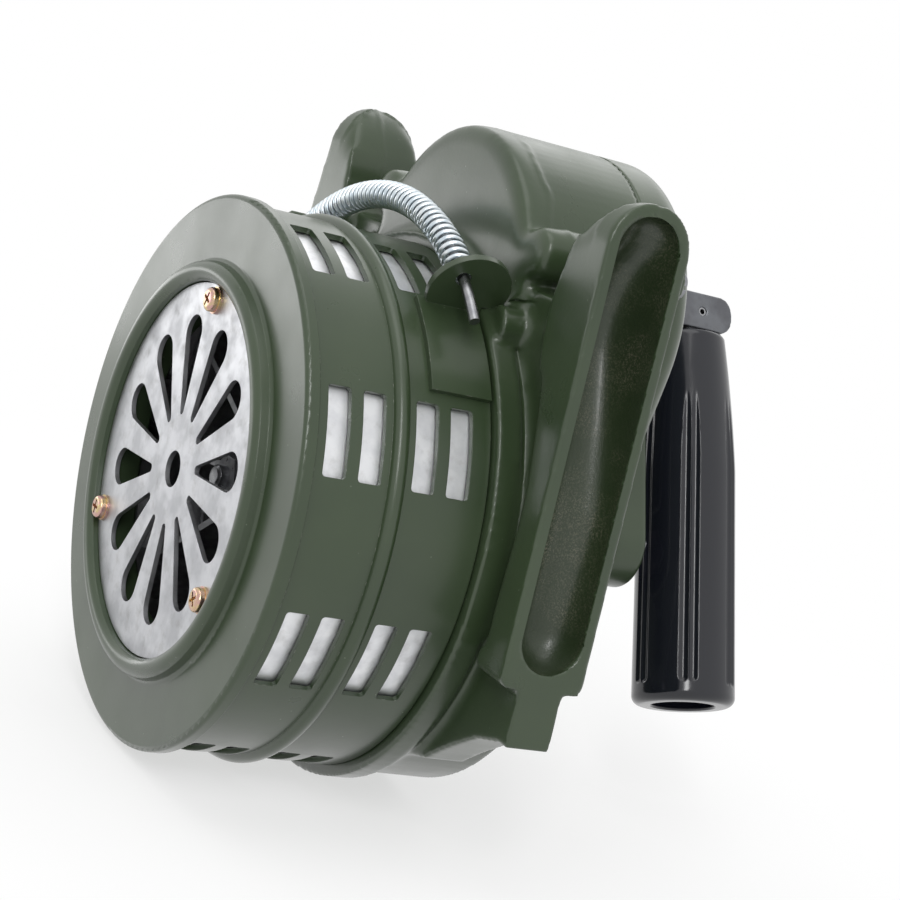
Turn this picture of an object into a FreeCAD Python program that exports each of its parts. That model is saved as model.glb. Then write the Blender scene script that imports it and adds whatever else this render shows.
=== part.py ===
import FreeCAD, Part
import math
import os

from FreeCAD import Vector

# Hand crank siren: a cast drum with a ported stator, a shutter ring, a rotor and a geared crank.
# The model is built about the drum's axis, which runs along +Y from the intake to the gearbox,
# with +Z up. At the end every piece is moved so that the siren stands centred on the origin.
# An angle "round the drum" is measured from +Z towards +X.

os.makedirs("parts", exist_ok=True)

AXIS_Y = Vector(0, 1, 0)
ORIGIN = Vector(0, 0, 0)
PI = math.pi

# Clearances
face_gap = 0.3            # between pieces that pass each other
slide_gap = 0.4           # shutter ring round the stator
bore_gap = 0.05           # running fit on the radius
backlash = 0.30           # total free play between meshing teeth

# Front cover
cover_radius = 80.0
cover_thickness = 4.0
cover_edge = 1.5          # rounding of the rim
lip_outer = 61.0          # foot of the intake lip
lip_height = 4.6
guard_radius = 54.0
guard_thickness = 1.5
guard_recess = 3.4        # lip crest to guard face
throat_radius = 46.5
throat_depth = 8.0
spigot_length = 2.0
spigot_wall = 2.6

# Guard plate
petal_count = 12
petal_tip = 15.7
petal_end = 44.7
petal_tip_radius = 1.3
petal_end_radius = 5.6
guard_hole_radius = 5.3
guard_screw_count = 3
guard_screw_circle = 49.8
guard_screw_radius = 2.0
guard_screw_head_radius = 3.5
guard_screw_head_height = 2.3
guard_screw_length = 7.0
guard_washer_radius = 3.9
guard_washer_thickness = 0.8
screw_slot_width = 0.9
screw_slot_depth = 1.1

# Stator and its ports
stator_outer = 76.2
stator_wall = 3.0
stator_end = 57.0         # where the rear casting begins
port_groups = 8
port_first_angle = 20.1
port_half_angle = 9.0
port_width = 6.8
port_starts = (7.2, 17.6, 33.5, 44.0)
port_corner = 1.0

# Shutter ring and its lever
shutter_wall = 1.7
shutter_play = 0.5        # at each end, along the axis
shutter_travel = 22.5     # degrees, half the spacing of the ports
bead_position = 29.0
bead_radius = 2.5
lever_base_low = 31.0     # angles round the drum
lever_base_high = 53.5
lever_base_front = 37.5
lever_base_thickness = 1.6
lever_flange_radius = 12.0
lever_flange_thickness = 2.0
lever_flange_position = 50.5
lever_flange_drop = 4.0   # its centre below the rod
lever_hole_gap = 0.7
lever_casting_gap = 0.5
lever_rivet_radius = 1.6
lever_rivet_head = 0.8
lever_rivet_rim = 1.0     # head beyond the shank
lever_rivet_inset = 5.0   # degrees from the base's ends
lever_rivet_short = 0.1   # below the ring's inner face

# Return spring and its rod
spring_arc_radius = 90.0
spring_position = 46.5    # along the drum
rod_radius = 1.5
rod_start_angle = -45.0
rod_end_angle = 42.0
spring_wire = 1.4
spring_outside = 8.4
spring_pitch = 2.75
anchor_angle = -41.0
anchor_width = 13.0
anchor_thickness = 5.0
anchor_front = 39.5
rod_nut_size = 6.0
rod_nut_height = 2.4
rod_nut_gap = 0.12

# Rear casting
flange_radius = 81.5
flange_end = 65.0
cup_radius = 79.0
cup_end = 92.0
casting_wall = 3.5
front_wall = 4.0
stop_boss_radius = 5.5
stop_boss_angle = 39.5
stop_boss_length = 7.0
web_front = 67.5
web_thickness = 13.5
web_top = 78.0
lobe_height = 68.0        # first countershaft and the lobe's centre above the drum axis
lobe_radius = 48.5
lobe_front = 64.0
lower_lobe_height = 0.0
lower_lobe_radius = 38.0
cover_joint = 106.0
screw_lug_radius = 7.5
screw_lug_reach = 4.5     # screw centre outside the gearbox's wall
upper_lug_angle = 67.5    # round the upper circle, from straight up
lower_lug_angle = 130.0   # round the lower circle

# Handles, open channels on both sides
handle_front = 61.3
handle_width = 25.7
handle_top = 110.4
handle_bottom = -21.0
handle_foot = -36.6
handle_rim = 98.35        # rim's distance from the drum axis at its height
handle_lean = 0.0834      # inward lean per unit of height
handle_wall = 3.2
handle_low_depth = 15.6
handle_grip_back = 70.2

# Gearbox cover
gearbox_depth = 18.0
gearbox_round = 8.0
cover_boss_radius = 12.5
cover_boss_length = 17.5
cover_lug_thickness = 5.0
cover_screw_radius = 2.5
cover_screw_head_radius = 4.0
cover_screw_head_height = 3.0
cover_screw_length = 15.0
cover_screw_slot_width = 1.2
cover_screw_slot_depth = 1.2

# Gears: teeth and modules, crank first
pressure_angle = 25.0
stage_one = (42, 12, 1.5)
crank_idler_teeth = 20    # between the two gears of the first stage
stage_two = (64, 16, 1.25)
stage_three = (48, 16, 1.0)
gear_face = 8.0
pinion_extra = 1.0
gear_web = 3.0
stage_one_position = 106.0
stage_two_position = 94.0
stage_three_position = 76.5

# Shafts and bearings
rotor_shaft_radius = 5.0
rotor_thread_radius = 3.5
rotor_shaft_front = 11.5
bearing_outer = 13.0
bearing_width = 8.0
bearing_race = 2.2
bearing_boss_wall = 3.5
countershaft_radius = 5.0
bush_wall = 2.0
bush_length = 7.0
stud_radius = 4.0
stud_head = 1.5
stud_boss_wall = 4.0
idler_boss_length = 9.0
crank_shaft_radius = 7.0
crank_shaft_thread = 5.0
shaft_collar = 2.5        # wider than the shaft that carries it
bush_shoulder = 3.0       # wall of the boss round a bush
crank_height = 0.0        # the crank turns in line with the rotor
crank_rest_angle = -27.0  # the arm leans this far from straight up

# Rotor
rotor_radius = 72.2
rotor_rim = 2.6
rotor_front = 6.8
rotor_back = 55.5
rotor_disc = 3.0
rotor_hub_radius = 12.0
rotor_hub_front = 22.0
vane_count = 8
vane_thickness = 2.2
vane_front = 14.0
rotor_nut_size = 13.0
rotor_nut_height = 5.5
rotor_washer_radius = 9.0
rotor_washer_thickness = 1.5

# Crank
crank_throw = 81.3        # shaft to the folding hinge
arm_front = 143.0
arm_thickness = 12.0
arm_hub_radius = 13.5
arm_end_radius = 11.0
arm_pocket_depth = 3.0
arm_pocket_width = 11.0
arm_edge = 1.5
crank_nut_height = 3.5
crank_nut_size = 14.0
fork_width = 20.0
fork_height = 12.4
fork_length = 12.2        # behind the arm
fork_corner = 5.0
hinge_offset = 7.2        # behind the arm
hinge_pin_radius = 2.5
link_height = 12.4
link_width = 16.0
link_tongue = 10.0
link_side_gap = 0.2       # tongue in the fork, each side
link_length = 29.2        # from the hinge to the rear end
link_nose = 6.6           # from the hinge to the wide part
link_corner = 5.0
roll_pin_radius = 1.5
roll_pin_bore = 0.9
roll_pin_short = 0.6      # below the link's side at each end

# Grip
grip_offset = 17.4        # grip's axis behind the hinge
grip_start = 7.4          # from the hinge's height to the grip
grip_length = 122.6
grip_neck_radius = 11.8
grip_middle_radius = 15.9
grip_end_radius = 16.5
grip_neck_length = 46.0
grip_round = 3.0
spindle_radius = 4.5
spindle_depth = 9.9       # in the link
spindle_collar_radius = 7.0
end_recess_radius = 10.0
end_recess_depth = 9.0
grip_screw_radius = 2.5
grip_screw_length = 14.0
grip_screw_head_radius = 6.5
grip_screw_head_height = 3.0
rib_groups = 8
rib_pitch = 11.0          # degrees between the ribs of a group
rib_start = 18.0          # from the grip's upper end
rib_end = 5.5             # short of the grip's lower end
groove_radius = 1.3
flute_radius = 7.0
flute_depth = 0.8


def polar(radius, angle, along=0.0):
    """A point at an angle round the drum, and a distance along it."""
    turn = math.radians(angle)
    return Vector(radius * math.sin(turn), along, radius * math.cos(turn))


def disc(radius, start, end, x=0.0, z=0.0):
    return Part.makeCylinder(radius, end - start, Vector(x, start, z), AXIS_Y)


def tube(outer, inner, start, end, x=0.0, z=0.0):
    return disc(outer, start, end, x, z).cut(disc(inner, start - 1, end + 1, x, z))


def block(x0, x1, y0, y1, z0, z1):
    return Part.makeBox(x1 - x0, y1 - y0, z1 - z0, Vector(x0, y0, z0))


def outline(start, *steps):
    """A closed wire: each step is the next corner, or (point on an arc, its end)."""
    edges = []
    here = start
    for step in steps + (start,):
        if len(step) == 2 and isinstance(step[0], Vector):
            edges.append(Part.Arc(here, step[0], step[1]).toShape())
            here = step[1]
        elif (step - here).Length > 1e-6:
            edges.append(Part.makeLine(here, step))
            here = step
    return Part.Wire(edges)


def turned(start, *steps):
    """A solid of revolution about the drum's axis from (radius, along) corners."""
    def place(step):
        if isinstance(step[0], tuple):
            return tuple(Vector(r, y, 0) for r, y in step)
        return Vector(step[0], step[1], 0)
    wire = outline(place(start), *[place(step) for step in steps])
    return Part.Face(wire).revolve(ORIGIN, AXIS_Y, 360)


def hexagon(size, start, end, x=0.0, z=0.0):
    corners = []
    for i in range(6):
        turn = math.radians(60 * i)
        reach = size / math.sqrt(3)
        corners.append(Vector(x + reach * math.cos(turn), start, z + reach * math.sin(turn)))
    face = Part.Face(Part.makePolygon(corners + [corners[0]]))
    return face.extrude(Vector(0, end - start, 0))


def spun(shape, angle, centre=ORIGIN):
    """A copy turned round the drum, from +Z towards +X."""
    copy = shape.copy()
    copy.rotate(centre, AXIS_Y, angle)
    return copy


def mirrored(shape):
    return shape.mirror(ORIGIN, Vector(1, 0, 0))


def fused(shapes):
    return shapes[0].multiFuse(shapes[1:]).removeSplitter()


# Heights and places that follow from the sizes above

def pitch_radius(teeth, module):
    return teeth * module / 2


def third_corner(height, lower, upper):
    """Where two gears' distances meet: out from the line and up, from the lower centre to one straight above."""
    rise = (height ** 2 + lower ** 2 - upper ** 2) / (2 * height)
    return math.sqrt(lower ** 2 - rise ** 2), rise


crank_idler_radius = pitch_radius(crank_idler_teeth, stage_one[2])
crank_idler_x, crank_idler_z = third_corner(
    lobe_height - crank_height,
    pitch_radius(stage_one[0], stage_one[2]) + crank_idler_radius,
    pitch_radius(stage_one[1], stage_one[2]) + crank_idler_radius,
)
crank_idler_x = -crank_idler_x
crank_idler_z = crank_height + crank_idler_z
stage_two_distance = pitch_radius(stage_two[0], stage_two[2]) + pitch_radius(stage_two[1], stage_two[2])
stage_three_distance = pitch_radius(stage_three[0], stage_three[2]) + pitch_radius(stage_three[1], stage_three[2])
idler_x, idler_z = third_corner(lobe_height, stage_three_distance, stage_two_distance)

guard_face = guard_recess - lip_height
guard_back = guard_face + guard_thickness
stator_inner = stator_outer - stator_wall
shutter_inner = stator_outer + slide_gap
shutter_outer = shutter_inner + shutter_wall
shutter_front = cover_thickness + shutter_play
shutter_end = stator_end - shutter_play
gearbox_end = cover_joint + gearbox_depth
hinge_y = arm_front + arm_thickness + hinge_offset
hinge_z = crank_height + crank_throw
grip_y = hinge_y + grip_offset
stud_end = stage_two_position + gear_face + pinion_extra / 2 + face_gap + stud_head
spindle_end = grip_start + grip_length - end_recess_depth + face_gap
web_end = web_front + web_thickness
lug_end = cover_joint + cover_lug_thickness
cavity_start = stator_end + front_wall
cavity_end = gearbox_end - casting_wall
bearing_start = stator_end + 1.0
second_bearing_start = bearing_start + bearing_width + 1.0
bearing_boss_end = second_bearing_start + bearing_width
bush_end = cavity_end - bush_length + 2
idler_boss_end = cavity_start + idler_boss_length


def front_cover():
    """Turned disc with a raised rolled lip round the intake and a spigot inside the stator."""
    seat = guard_radius + face_gap
    crest = (seat + lip_outer) / 2
    spigot_outer = stator_inner - bore_gap
    rim = cover_edge * (1 - math.sqrt(0.5))
    return turned(
        (throat_radius, guard_back),
        (seat, guard_back),
        (seat, 1.8 - lip_height),
        ((crest - 0.6, -lip_height), (crest + 2.2, 1.6 - lip_height)),
        (lip_outer - 0.7, -0.7),
        ((lip_outer - 0.2, -0.2), (lip_outer + 0.8, 0)),
        (cover_radius - cover_edge, 0),
        ((cover_radius - rim, rim), (cover_radius, cover_edge)),
        (cover_radius, cover_thickness),
        (spigot_outer, cover_thickness),
        (spigot_outer, cover_thickness + spigot_length),
        (spigot_outer - spigot_wall, cover_thickness + spigot_length),
        (spigot_outer - spigot_wall, cover_thickness - 0.5),
        (lip_outer - 3.5, cover_thickness - 0.5),
        (lip_outer - 4.5, throat_depth),
        (throat_radius + 1.0, throat_depth),
        (throat_radius, throat_depth - 1.0),
    ).cut(guard_screws_at(bore_gap))


def guard_screw_angles():
    return [i * 360 / guard_screw_count for i in range(guard_screw_count)]


def guard_screws_at(extra):
    """The screws' plain shanks, wider by the clearance."""
    shanks = []
    for angle in guard_screw_angles():
        place = polar(guard_screw_circle, angle)
        shanks.append(disc(guard_screw_radius + extra, guard_face - 5, guard_back + guard_screw_length + 1,
                           place.x, place.z))
    return Part.makeCompound(shanks)


def petal():
    """One teardrop slot, narrow towards the middle, standing along +Z."""
    tip = petal_tip + petal_tip_radius
    end = petal_end - petal_end_radius
    lean = math.asin((petal_end_radius - petal_tip_radius) / (end - tip))
    side_x, side_z = math.cos(lean), -math.sin(lean)
    y = guard_face - 1

    def on(radius, height, side):
        return Vector(side * radius * side_x, y, height + radius * side_z)
    wire = outline(
        on(petal_tip_radius, tip, 1),
        on(petal_end_radius, end, 1),
        (Vector(0, y, end + petal_end_radius), on(petal_end_radius, end, -1)),
        on(petal_tip_radius, tip, -1),
        (Vector(0, y, tip - petal_tip_radius), on(petal_tip_radius, tip, 1)),
    )
    return Part.Face(wire).extrude(Vector(0, guard_thickness + 2, 0))


def guard_plate():
    plate = disc(guard_radius, guard_face, guard_back)
    step = 360 / petal_count
    cutters = [spun(petal(), step * (i + 0.5)) for i in range(petal_count)]
    cutters.append(disc(guard_hole_radius, guard_face - 1, guard_back + 1))
    return plate.cut(Part.makeCompound(cutters)).cut(guard_screws_at(bore_gap))


def guard_washers():
    washers = []
    for angle in guard_screw_angles():
        place = polar(guard_screw_circle, angle)
        washers.append(tube(guard_washer_radius, guard_screw_radius + bore_gap,
                            guard_face - guard_washer_thickness, guard_face, place.x, place.z))
    return Part.makeCompound(washers)


def cross_slots(radius, y, depth):
    """Cross recess in a head whose top faces the front."""
    bar = block(-radius, radius, y - 1, y + depth, -screw_slot_width / 2, screw_slot_width / 2)
    other = spun(bar, 90)
    return bar.fuse(other)


def guard_screws():
    screws = []
    head_back = guard_face - guard_washer_thickness
    head_front = head_back - guard_screw_head_height
    tip = head_back + guard_screw_length
    head_round = guard_screw_head_height * 0.55
    for number, angle in enumerate(guard_screw_angles()):
        place = polar(guard_screw_circle, angle)
        screw = turned(
            (0, head_front),
            (guard_screw_head_radius - head_round, head_front),
            ((guard_screw_head_radius - head_round * 0.293, head_front + head_round * 0.293),
             (guard_screw_head_radius, head_front + head_round)),
            (guard_screw_head_radius, head_back),
            (guard_screw_radius, head_back),
            (guard_screw_radius, tip - 1),
            (guard_screw_radius - 0.8, tip),
            (0, tip),
        )
        screw = screw.cut(cross_slots(guard_screw_head_radius * 0.6, head_front, screw_slot_depth))
        screw = spun(screw, 20 + 35 * number)
        screw.translate(Vector(place.x, 0, place.z))
        screws.append(screw)
    return Part.makeCompound(screws)


def port_cutters(inner, outer, first_angle, corner):
    """One slot for each port of each group, cut straight outwards."""
    cutters = []
    half = outer * math.sin(math.radians(port_half_angle))
    for start in port_starts:
        slot = block(-half, half, start, start + port_width, inner - 1, outer + 4)
        if corner > 0:
            upright = [e for e in slot.Edges if abs(e.Vertexes[0].Point.z - e.Vertexes[-1].Point.z) > 1]
            slot = slot.makeFillet(corner, upright)
        for i in range(port_groups):
            cutters.append(spun(slot, first_angle + i * 360 / port_groups))
    return Part.makeCompound(cutters)


def stator_ring():
    """Bare metal wall with ports between those of the closed shutter."""
    ring = tube(stator_outer, stator_inner, cover_thickness, stator_end)
    half_step = 180 / port_groups
    return ring.cut(port_cutters(stator_inner, stator_outer, port_first_angle - half_step, 0))


def shutter_ring():
    ring = tube(shutter_outer, shutter_inner, shutter_front, shutter_end)
    bead = turned(
        (shutter_outer - 0.4, bead_position - bead_radius),
        ((shutter_outer - 0.4 + bead_radius, bead_position), (shutter_outer - 0.4, bead_position + bead_radius)),
    )
    ring = ring.fuse(bead).removeSplitter()
    ring = ring.cut(port_cutters(shutter_inner, shutter_outer, port_first_angle, port_corner))
    return ring.cut(lever_rivet_shapes(False))


def sector(inner, outer, y0, y1, low, high):
    """Part of a ring between two angles round the drum."""
    def arc(radius, a, b):
        return (polar(radius, (a + b) / 2, y0), polar(radius, b, y0))
    wire = outline(polar(inner, low, y0), polar(outer, low, y0), arc(outer, low, high),
                   polar(inner, high, y0), arc(inner, high, low))
    return Part.Face(wire).extrude(Vector(0, y1 - y0, 0))


def shutter_lever():
    """Curved base on the ring with a round-ended flange that the spring pushes."""
    base_end = shutter_end - 0.4
    base_outer = shutter_outer + lever_base_thickness
    base = sector(shutter_outer, base_outer, lever_base_front, base_end, lever_base_low, lever_base_high)
    # The flange is a disc that faces along the drum's tangent, cut off where it meets the ring
    centre = Vector(0, lever_flange_position, spring_arc_radius - lever_flange_drop)
    flange = Part.makeCylinder(lever_flange_radius, lever_flange_thickness, centre, Vector(1, 0, 0))
    hole = Part.makeCylinder(rod_radius + lever_hole_gap, 4 * lever_flange_thickness,
                             Vector(-lever_flange_thickness, spring_position, spring_arc_radius), Vector(1, 0, 0))
    flange = spun(flange.cut(hole), lever_base_low)
    lever = fused([base, flange])
    under = disc(shutter_outer, shutter_front, shutter_end + 10)
    behind = disc(flange_radius + lever_casting_gap, stator_end - face_gap, flange_end)
    return lever.cut(under).cut(behind).cut(lever_rivet_shapes(False))


def lever_rivet_shapes(heads):
    """The rivets with their heads, or the holes for their shanks."""
    shapes = []
    middle = (lever_base_front + shutter_end) / 2
    top = shutter_outer + lever_base_thickness
    for angle in (lever_base_low + lever_rivet_inset, lever_base_high - lever_rivet_inset):
        if heads:
            shank = Part.makeCylinder(lever_rivet_radius, top - shutter_inner - lever_rivet_short,
                                      polar(shutter_inner + lever_rivet_short, angle, middle), polar(1, angle))
            head = Part.makeCylinder(lever_rivet_radius + lever_rivet_rim, lever_rivet_head,
                                     polar(top, angle, middle), polar(1, angle))
            shapes.append(shank.fuse(head).removeSplitter())
        else:
            shapes.append(Part.makeCylinder(lever_rivet_radius, top - shutter_inner + 2,
                                            polar(shutter_inner - 1, angle, middle), polar(1, angle)))
    return Part.makeCompound(shapes)


def spring_rod():
    """Round rod bent concentric with the drum."""
    start = polar(spring_arc_radius, rod_start_angle, spring_position)
    middle = polar(spring_arc_radius, (rod_start_angle + rod_end_angle) / 2, spring_position)
    end = polar(spring_arc_radius, rod_end_angle, spring_position)
    path = Part.Wire([Part.Arc(start, middle, end).toShape()])
    turn = math.radians(rod_start_angle)
    tangent = Vector(math.cos(turn), 0, -math.sin(turn))
    section = Part.Wire([Part.makeCircle(rod_radius, start, tangent)])
    return path.makePipeShell([section], True, True)


def unit(v):
    return v * (1.0 / v.Length)


def tangent_arc(start, direction, end):
    """Arc that leaves the start in the given direction and ends at the point."""
    chord = end - start
    half = math.acos(max(-1.0, min(1.0, unit(direction).dot(unit(chord)))))
    side = unit(unit(direction) - unit(chord) * unit(direction).dot(unit(chord)))
    middle = start + chord * 0.5 + side * (chord.Length / 2 * math.tan(half / 2))
    return Part.Arc(start, middle, end).toShape()


def biarc(p0, t0, p1, t1):
    """Two tangent arcs from one point and direction to another."""
    chord = p1 - p0
    both = t0 + t1
    spread = 2 * (1 - t0.dot(t1))
    reach = (-chord.dot(both) + math.sqrt(chord.dot(both) ** 2 + spread * chord.dot(chord))) / spread
    joint = (p0 + p1 + (t0 - t1) * reach) * 0.5
    first = tangent_arc(p0, t0, joint)
    second = tangent_arc(p1, t1 * -1, joint)
    return [first, second]


def return_spring():
    """Open coil wound on the rod, from the cast anchor to the lever's flange."""
    coil = (spring_outside - spring_wire) / 2
    seat = math.degrees((spring_wire / 2 + 0.1) / spring_arc_radius)
    low = anchor_angle + math.degrees(anchor_thickness / 2 / spring_arc_radius) + seat
    high = lever_base_low - seat
    length = math.radians(high - low) * spring_arc_radius
    turns = round(length / spring_pitch)

    def point(t):
        angle = low + (high - low) * t / turns
        swing = 2 * PI * t
        return polar(spring_arc_radius + coil * math.cos(swing), angle, spring_position + coil * math.sin(swing))

    def heading(t):
        small = 1e-4
        return unit(point(t + small) - point(t - small))

    edges = []
    steps = turns * 2
    for i in range(steps):
        a = i / 2
        b = (i + 1) / 2
        edges += biarc(point(a), heading(a), point(b), heading(b))
    path = Part.Wire(edges)
    section = Part.Wire([Part.makeCircle(spring_wire / 2, point(0), heading(0))])
    shell = Part.BRepOffsetAPI.MakePipeShell(path)
    shell.add(section)
    shell.build()
    shell.makeSolid()

    least = min((point(t / 16) - point(t / 16 + 1 + d / 16)).Length
                for t in range((turns - 2) * 16) for d in (-2, -1, 0, 1, 2)) - spring_wire
    print("spring: turns", turns, "least gap between turns", round(least, 2))
    return shell.shape()


def rod_nut():
    """Hexagon nut behind the anchor, on the end of the rod."""
    nut = hexagon(rod_nut_size, 0, rod_nut_height)
    nut = nut.cut(disc(rod_radius + rod_nut_gap, -1, rod_nut_height + 1))
    nut.rotate(ORIGIN, Vector(0, 0, 1), 90)
    # The rod bends away from the straight bore, so the nut sits where the rod is at the nut's middle
    reach = (anchor_thickness + rod_nut_height) / 2
    drop = spring_arc_radius - math.sqrt(spring_arc_radius ** 2 - reach ** 2)
    nut.translate(Vector(-anchor_thickness / 2, spring_position, spring_arc_radius - drop))
    return spun(nut, anchor_angle)


def screw_lug_places():
    """The four cover screws, two beside each end of the gearbox: (x, z, is it an upper one)."""
    places = []
    for centre, radius, angle in ((lobe_height, lobe_radius, upper_lug_angle),
                                  (lower_lobe_height, lower_lobe_radius, lower_lug_angle)):
        place = polar(radius + screw_lug_reach, angle)
        for side in (-1, 1):
            places.append((side * place.x, centre + place.z, centre == lobe_height))
    return places


def lobe_outline(inset, y):
    """Two circles joined by straight sides: the gearbox seen along the drum."""
    big = lobe_radius - inset
    small = lower_lobe_radius - inset
    lean = math.asin((big - small) / (lobe_height - lower_lobe_height))
    side_x, side_z = math.cos(lean), -math.sin(lean)

    def on(radius, height, side):
        return Vector(side * radius * side_x, y, height + radius * side_z)
    return Part.Face(outline(
        on(small, lower_lobe_height, 1),
        on(big, lobe_height, 1),
        (Vector(0, y, lobe_height + big), on(big, lobe_height, -1)),
        on(small, lower_lobe_height, -1),
        (Vector(0, y, lower_lobe_height - small), on(small, lower_lobe_height, 1)),
    ))


def lobe(inset, start, end):
    return lobe_outline(inset, start).extrude(Vector(0, end - start, 0))


def rim_x(height):
    """Where the handle's open rim stands at a height."""
    return handle_rim - handle_lean * height


def handle_profile(wall, y):
    """Side of the handle seen along the drum: narrow foot, full grip, rounded top."""
    low = handle_bottom + (wall * 1.5 if wall else 0)
    top = handle_top - wall
    out = 3.0 if wall else 0.0
    back = rim_x(0) - handle_low_depth + wall
    grip = handle_grip_back + wall
    return Part.Face(outline(
        Vector(rim_x(low) + out, y, low),
        Vector(back + 1.8, y, low),
        Vector(back + 0.4, y, 26),
        (Vector(back - 4.6, y, 46), Vector(grip + 1.0, y, 67)),
        (Vector(grip, y, 77), Vector(grip + 1.4, y, 88)),
        (Vector(grip + 6.0, y, top - 9.5), Vector(grip + 15.5, y, top - 1.5)),
        Vector(rim_x(top) + out, y, top),
    ))


def handle_solid(wall):
    start = handle_front + wall
    width = handle_width - 2 * wall
    side = handle_profile(wall, start).extrude(Vector(0, width, 0))
    radius = width / 2
    centre = handle_front + handle_width / 2
    low = handle_bottom + (wall * 1.5 if wall else 0)
    crown = handle_top - wall - radius
    corner = 3.0

    def at(y, z):
        return Vector(40, y, z)
    wire = outline(
        at(centre - radius, low + corner),
        at(centre - radius, crown),
        (at(centre, crown + radius), at(centre + radius, crown)),
        at(centre + radius, low + corner),
        (at(centre + radius - corner * 0.293, low + corner * 0.293), at(centre + radius - corner, low)),
        at(centre - radius + corner, low),
        (at(centre - radius + corner * 0.293, low + corner * 0.293), at(centre - radius, low + corner)),
    )
    front = Part.Face(wire).extrude(Vector(80, 0, 0))
    return side.common(front)


def handle_right():
    """Cast channel, open outwards, that the hand closes round."""
    return handle_solid(0).cut(handle_solid(handle_wall))


def web_right():
    """Flat web from the cup and the lobe out to the handle, ending in its foot."""
    y = web_front

    def at(x, z):
        return Vector(x, y, z)
    wire = outline(
        at(40, -62),
        at(62.5, -55.5),
        (at(72.3, -48.5), at(85.7, -40.2)),
        at(rim_x(handle_foot) - 4, handle_foot),
        at(rim_x(handle_foot), handle_foot),
        at(rim_x(web_top), web_top),
        at(30, web_top),
        at(30, -62),
    )
    web = Part.Face(wire).extrude(Vector(0, web_thickness, 0)).cut(handle_solid(0))
    outside = block(rim_x(0) - handle_low_depth, cup_radius * 2, web_front - 1, web_end + 1,
                    handle_bottom, web_top + 1)
    inside = block(0, handle_grip_back + 14, web_front - 2, web_end + 2, 30, web_top + 2)
    return web.cut(outside.cut(inside))


def rear_casting():
    """Flange, cup, gear lobe, webs, bosses and the spring's anchor in one casting."""
    flange = disc(flange_radius, stator_end, flange_end)
    cup = disc(cup_radius, flange_end, cup_end)
    body = [flange, cup, lobe(0, lobe_front, cover_joint), web_right(), mirrored(web_right())]
    for x, z, upper in screw_lug_places():
        body.append(disc(screw_lug_radius, lobe_front if upper else web_end, cover_joint, x, z))
    stop = polar(flange_radius + 1.0, stop_boss_angle)
    body.append(disc(stop_boss_radius, shutter_end + 2.2, flange_end + stop_boss_length, stop.x, stop.z))
    body.append(anchor())
    casting = fused(body)

    cup_cavity = disc(cup_radius - casting_wall, cavity_start, cup_end - casting_wall)
    lobe_cavity = lobe(casting_wall, lobe_front + front_wall, cover_joint + 1)
    cavity = cup_cavity.fuse(lobe_cavity)
    bosses = [
        disc(bearing_outer + bearing_boss_wall, stator_end, bearing_boss_end),
        disc(countershaft_radius + bush_wall + bush_shoulder, stator_end, cavity_start + bush_length, 0, lobe_height),
        disc(stud_radius + stud_boss_wall, stator_end, idler_boss_end, idler_x, idler_z),
    ]
    cavity = cavity.cut(fused(bosses))
    casting = casting.cut(cavity)

    spigot = tube(stator_inner - bore_gap, stator_inner - bore_gap - spigot_wall,
                  stator_end - 1.0, stator_end)
    casting = fused([casting, spigot])
    bores = [
        disc(bearing_outer, stator_end - 1, bearing_boss_end + 1),
        disc(countershaft_radius + bush_wall, cavity_start, cavity_start + bush_length + 1, 0, lobe_height),
        disc(stud_radius, cavity_start, idler_boss_end + 1, idler_x, idler_z),
        anchor_hole(),
    ]
    for x, z, upper in screw_lug_places():
        bores.append(disc(cover_screw_radius, lug_end - cover_screw_length - 2, cover_joint + 1, x, z))
    return casting.cut(Part.makeCompound(bores))


def anchor():
    """Lug that reaches forward from the flange over the shutter ring and holds the rod."""
    low = shutter_outer + bead_radius + 1.5
    lug = block(-anchor_thickness / 2, anchor_thickness / 2, anchor_front, flange_end, low, spring_arc_radius + 6.5)
    lug = lug.makeFillet(3.0, [e for e in lug.Edges if e.BoundBox.XLength > 1 and e.BoundBox.YMin < anchor_front + 1
                               and e.BoundBox.ZMin > spring_arc_radius])
    foot = block(-anchor_width / 2, anchor_width / 2, stator_end, flange_end, flange_radius - 4, low + 4)
    return spun(lug.fuse(foot), anchor_angle)


def anchor_hole():
    hole = Part.makeCylinder(rod_radius + bore_gap, 3 * anchor_thickness,
                             Vector(-1.5 * anchor_thickness, spring_position, spring_arc_radius), Vector(1, 0, 0))
    return spun(hole, anchor_angle)


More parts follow.
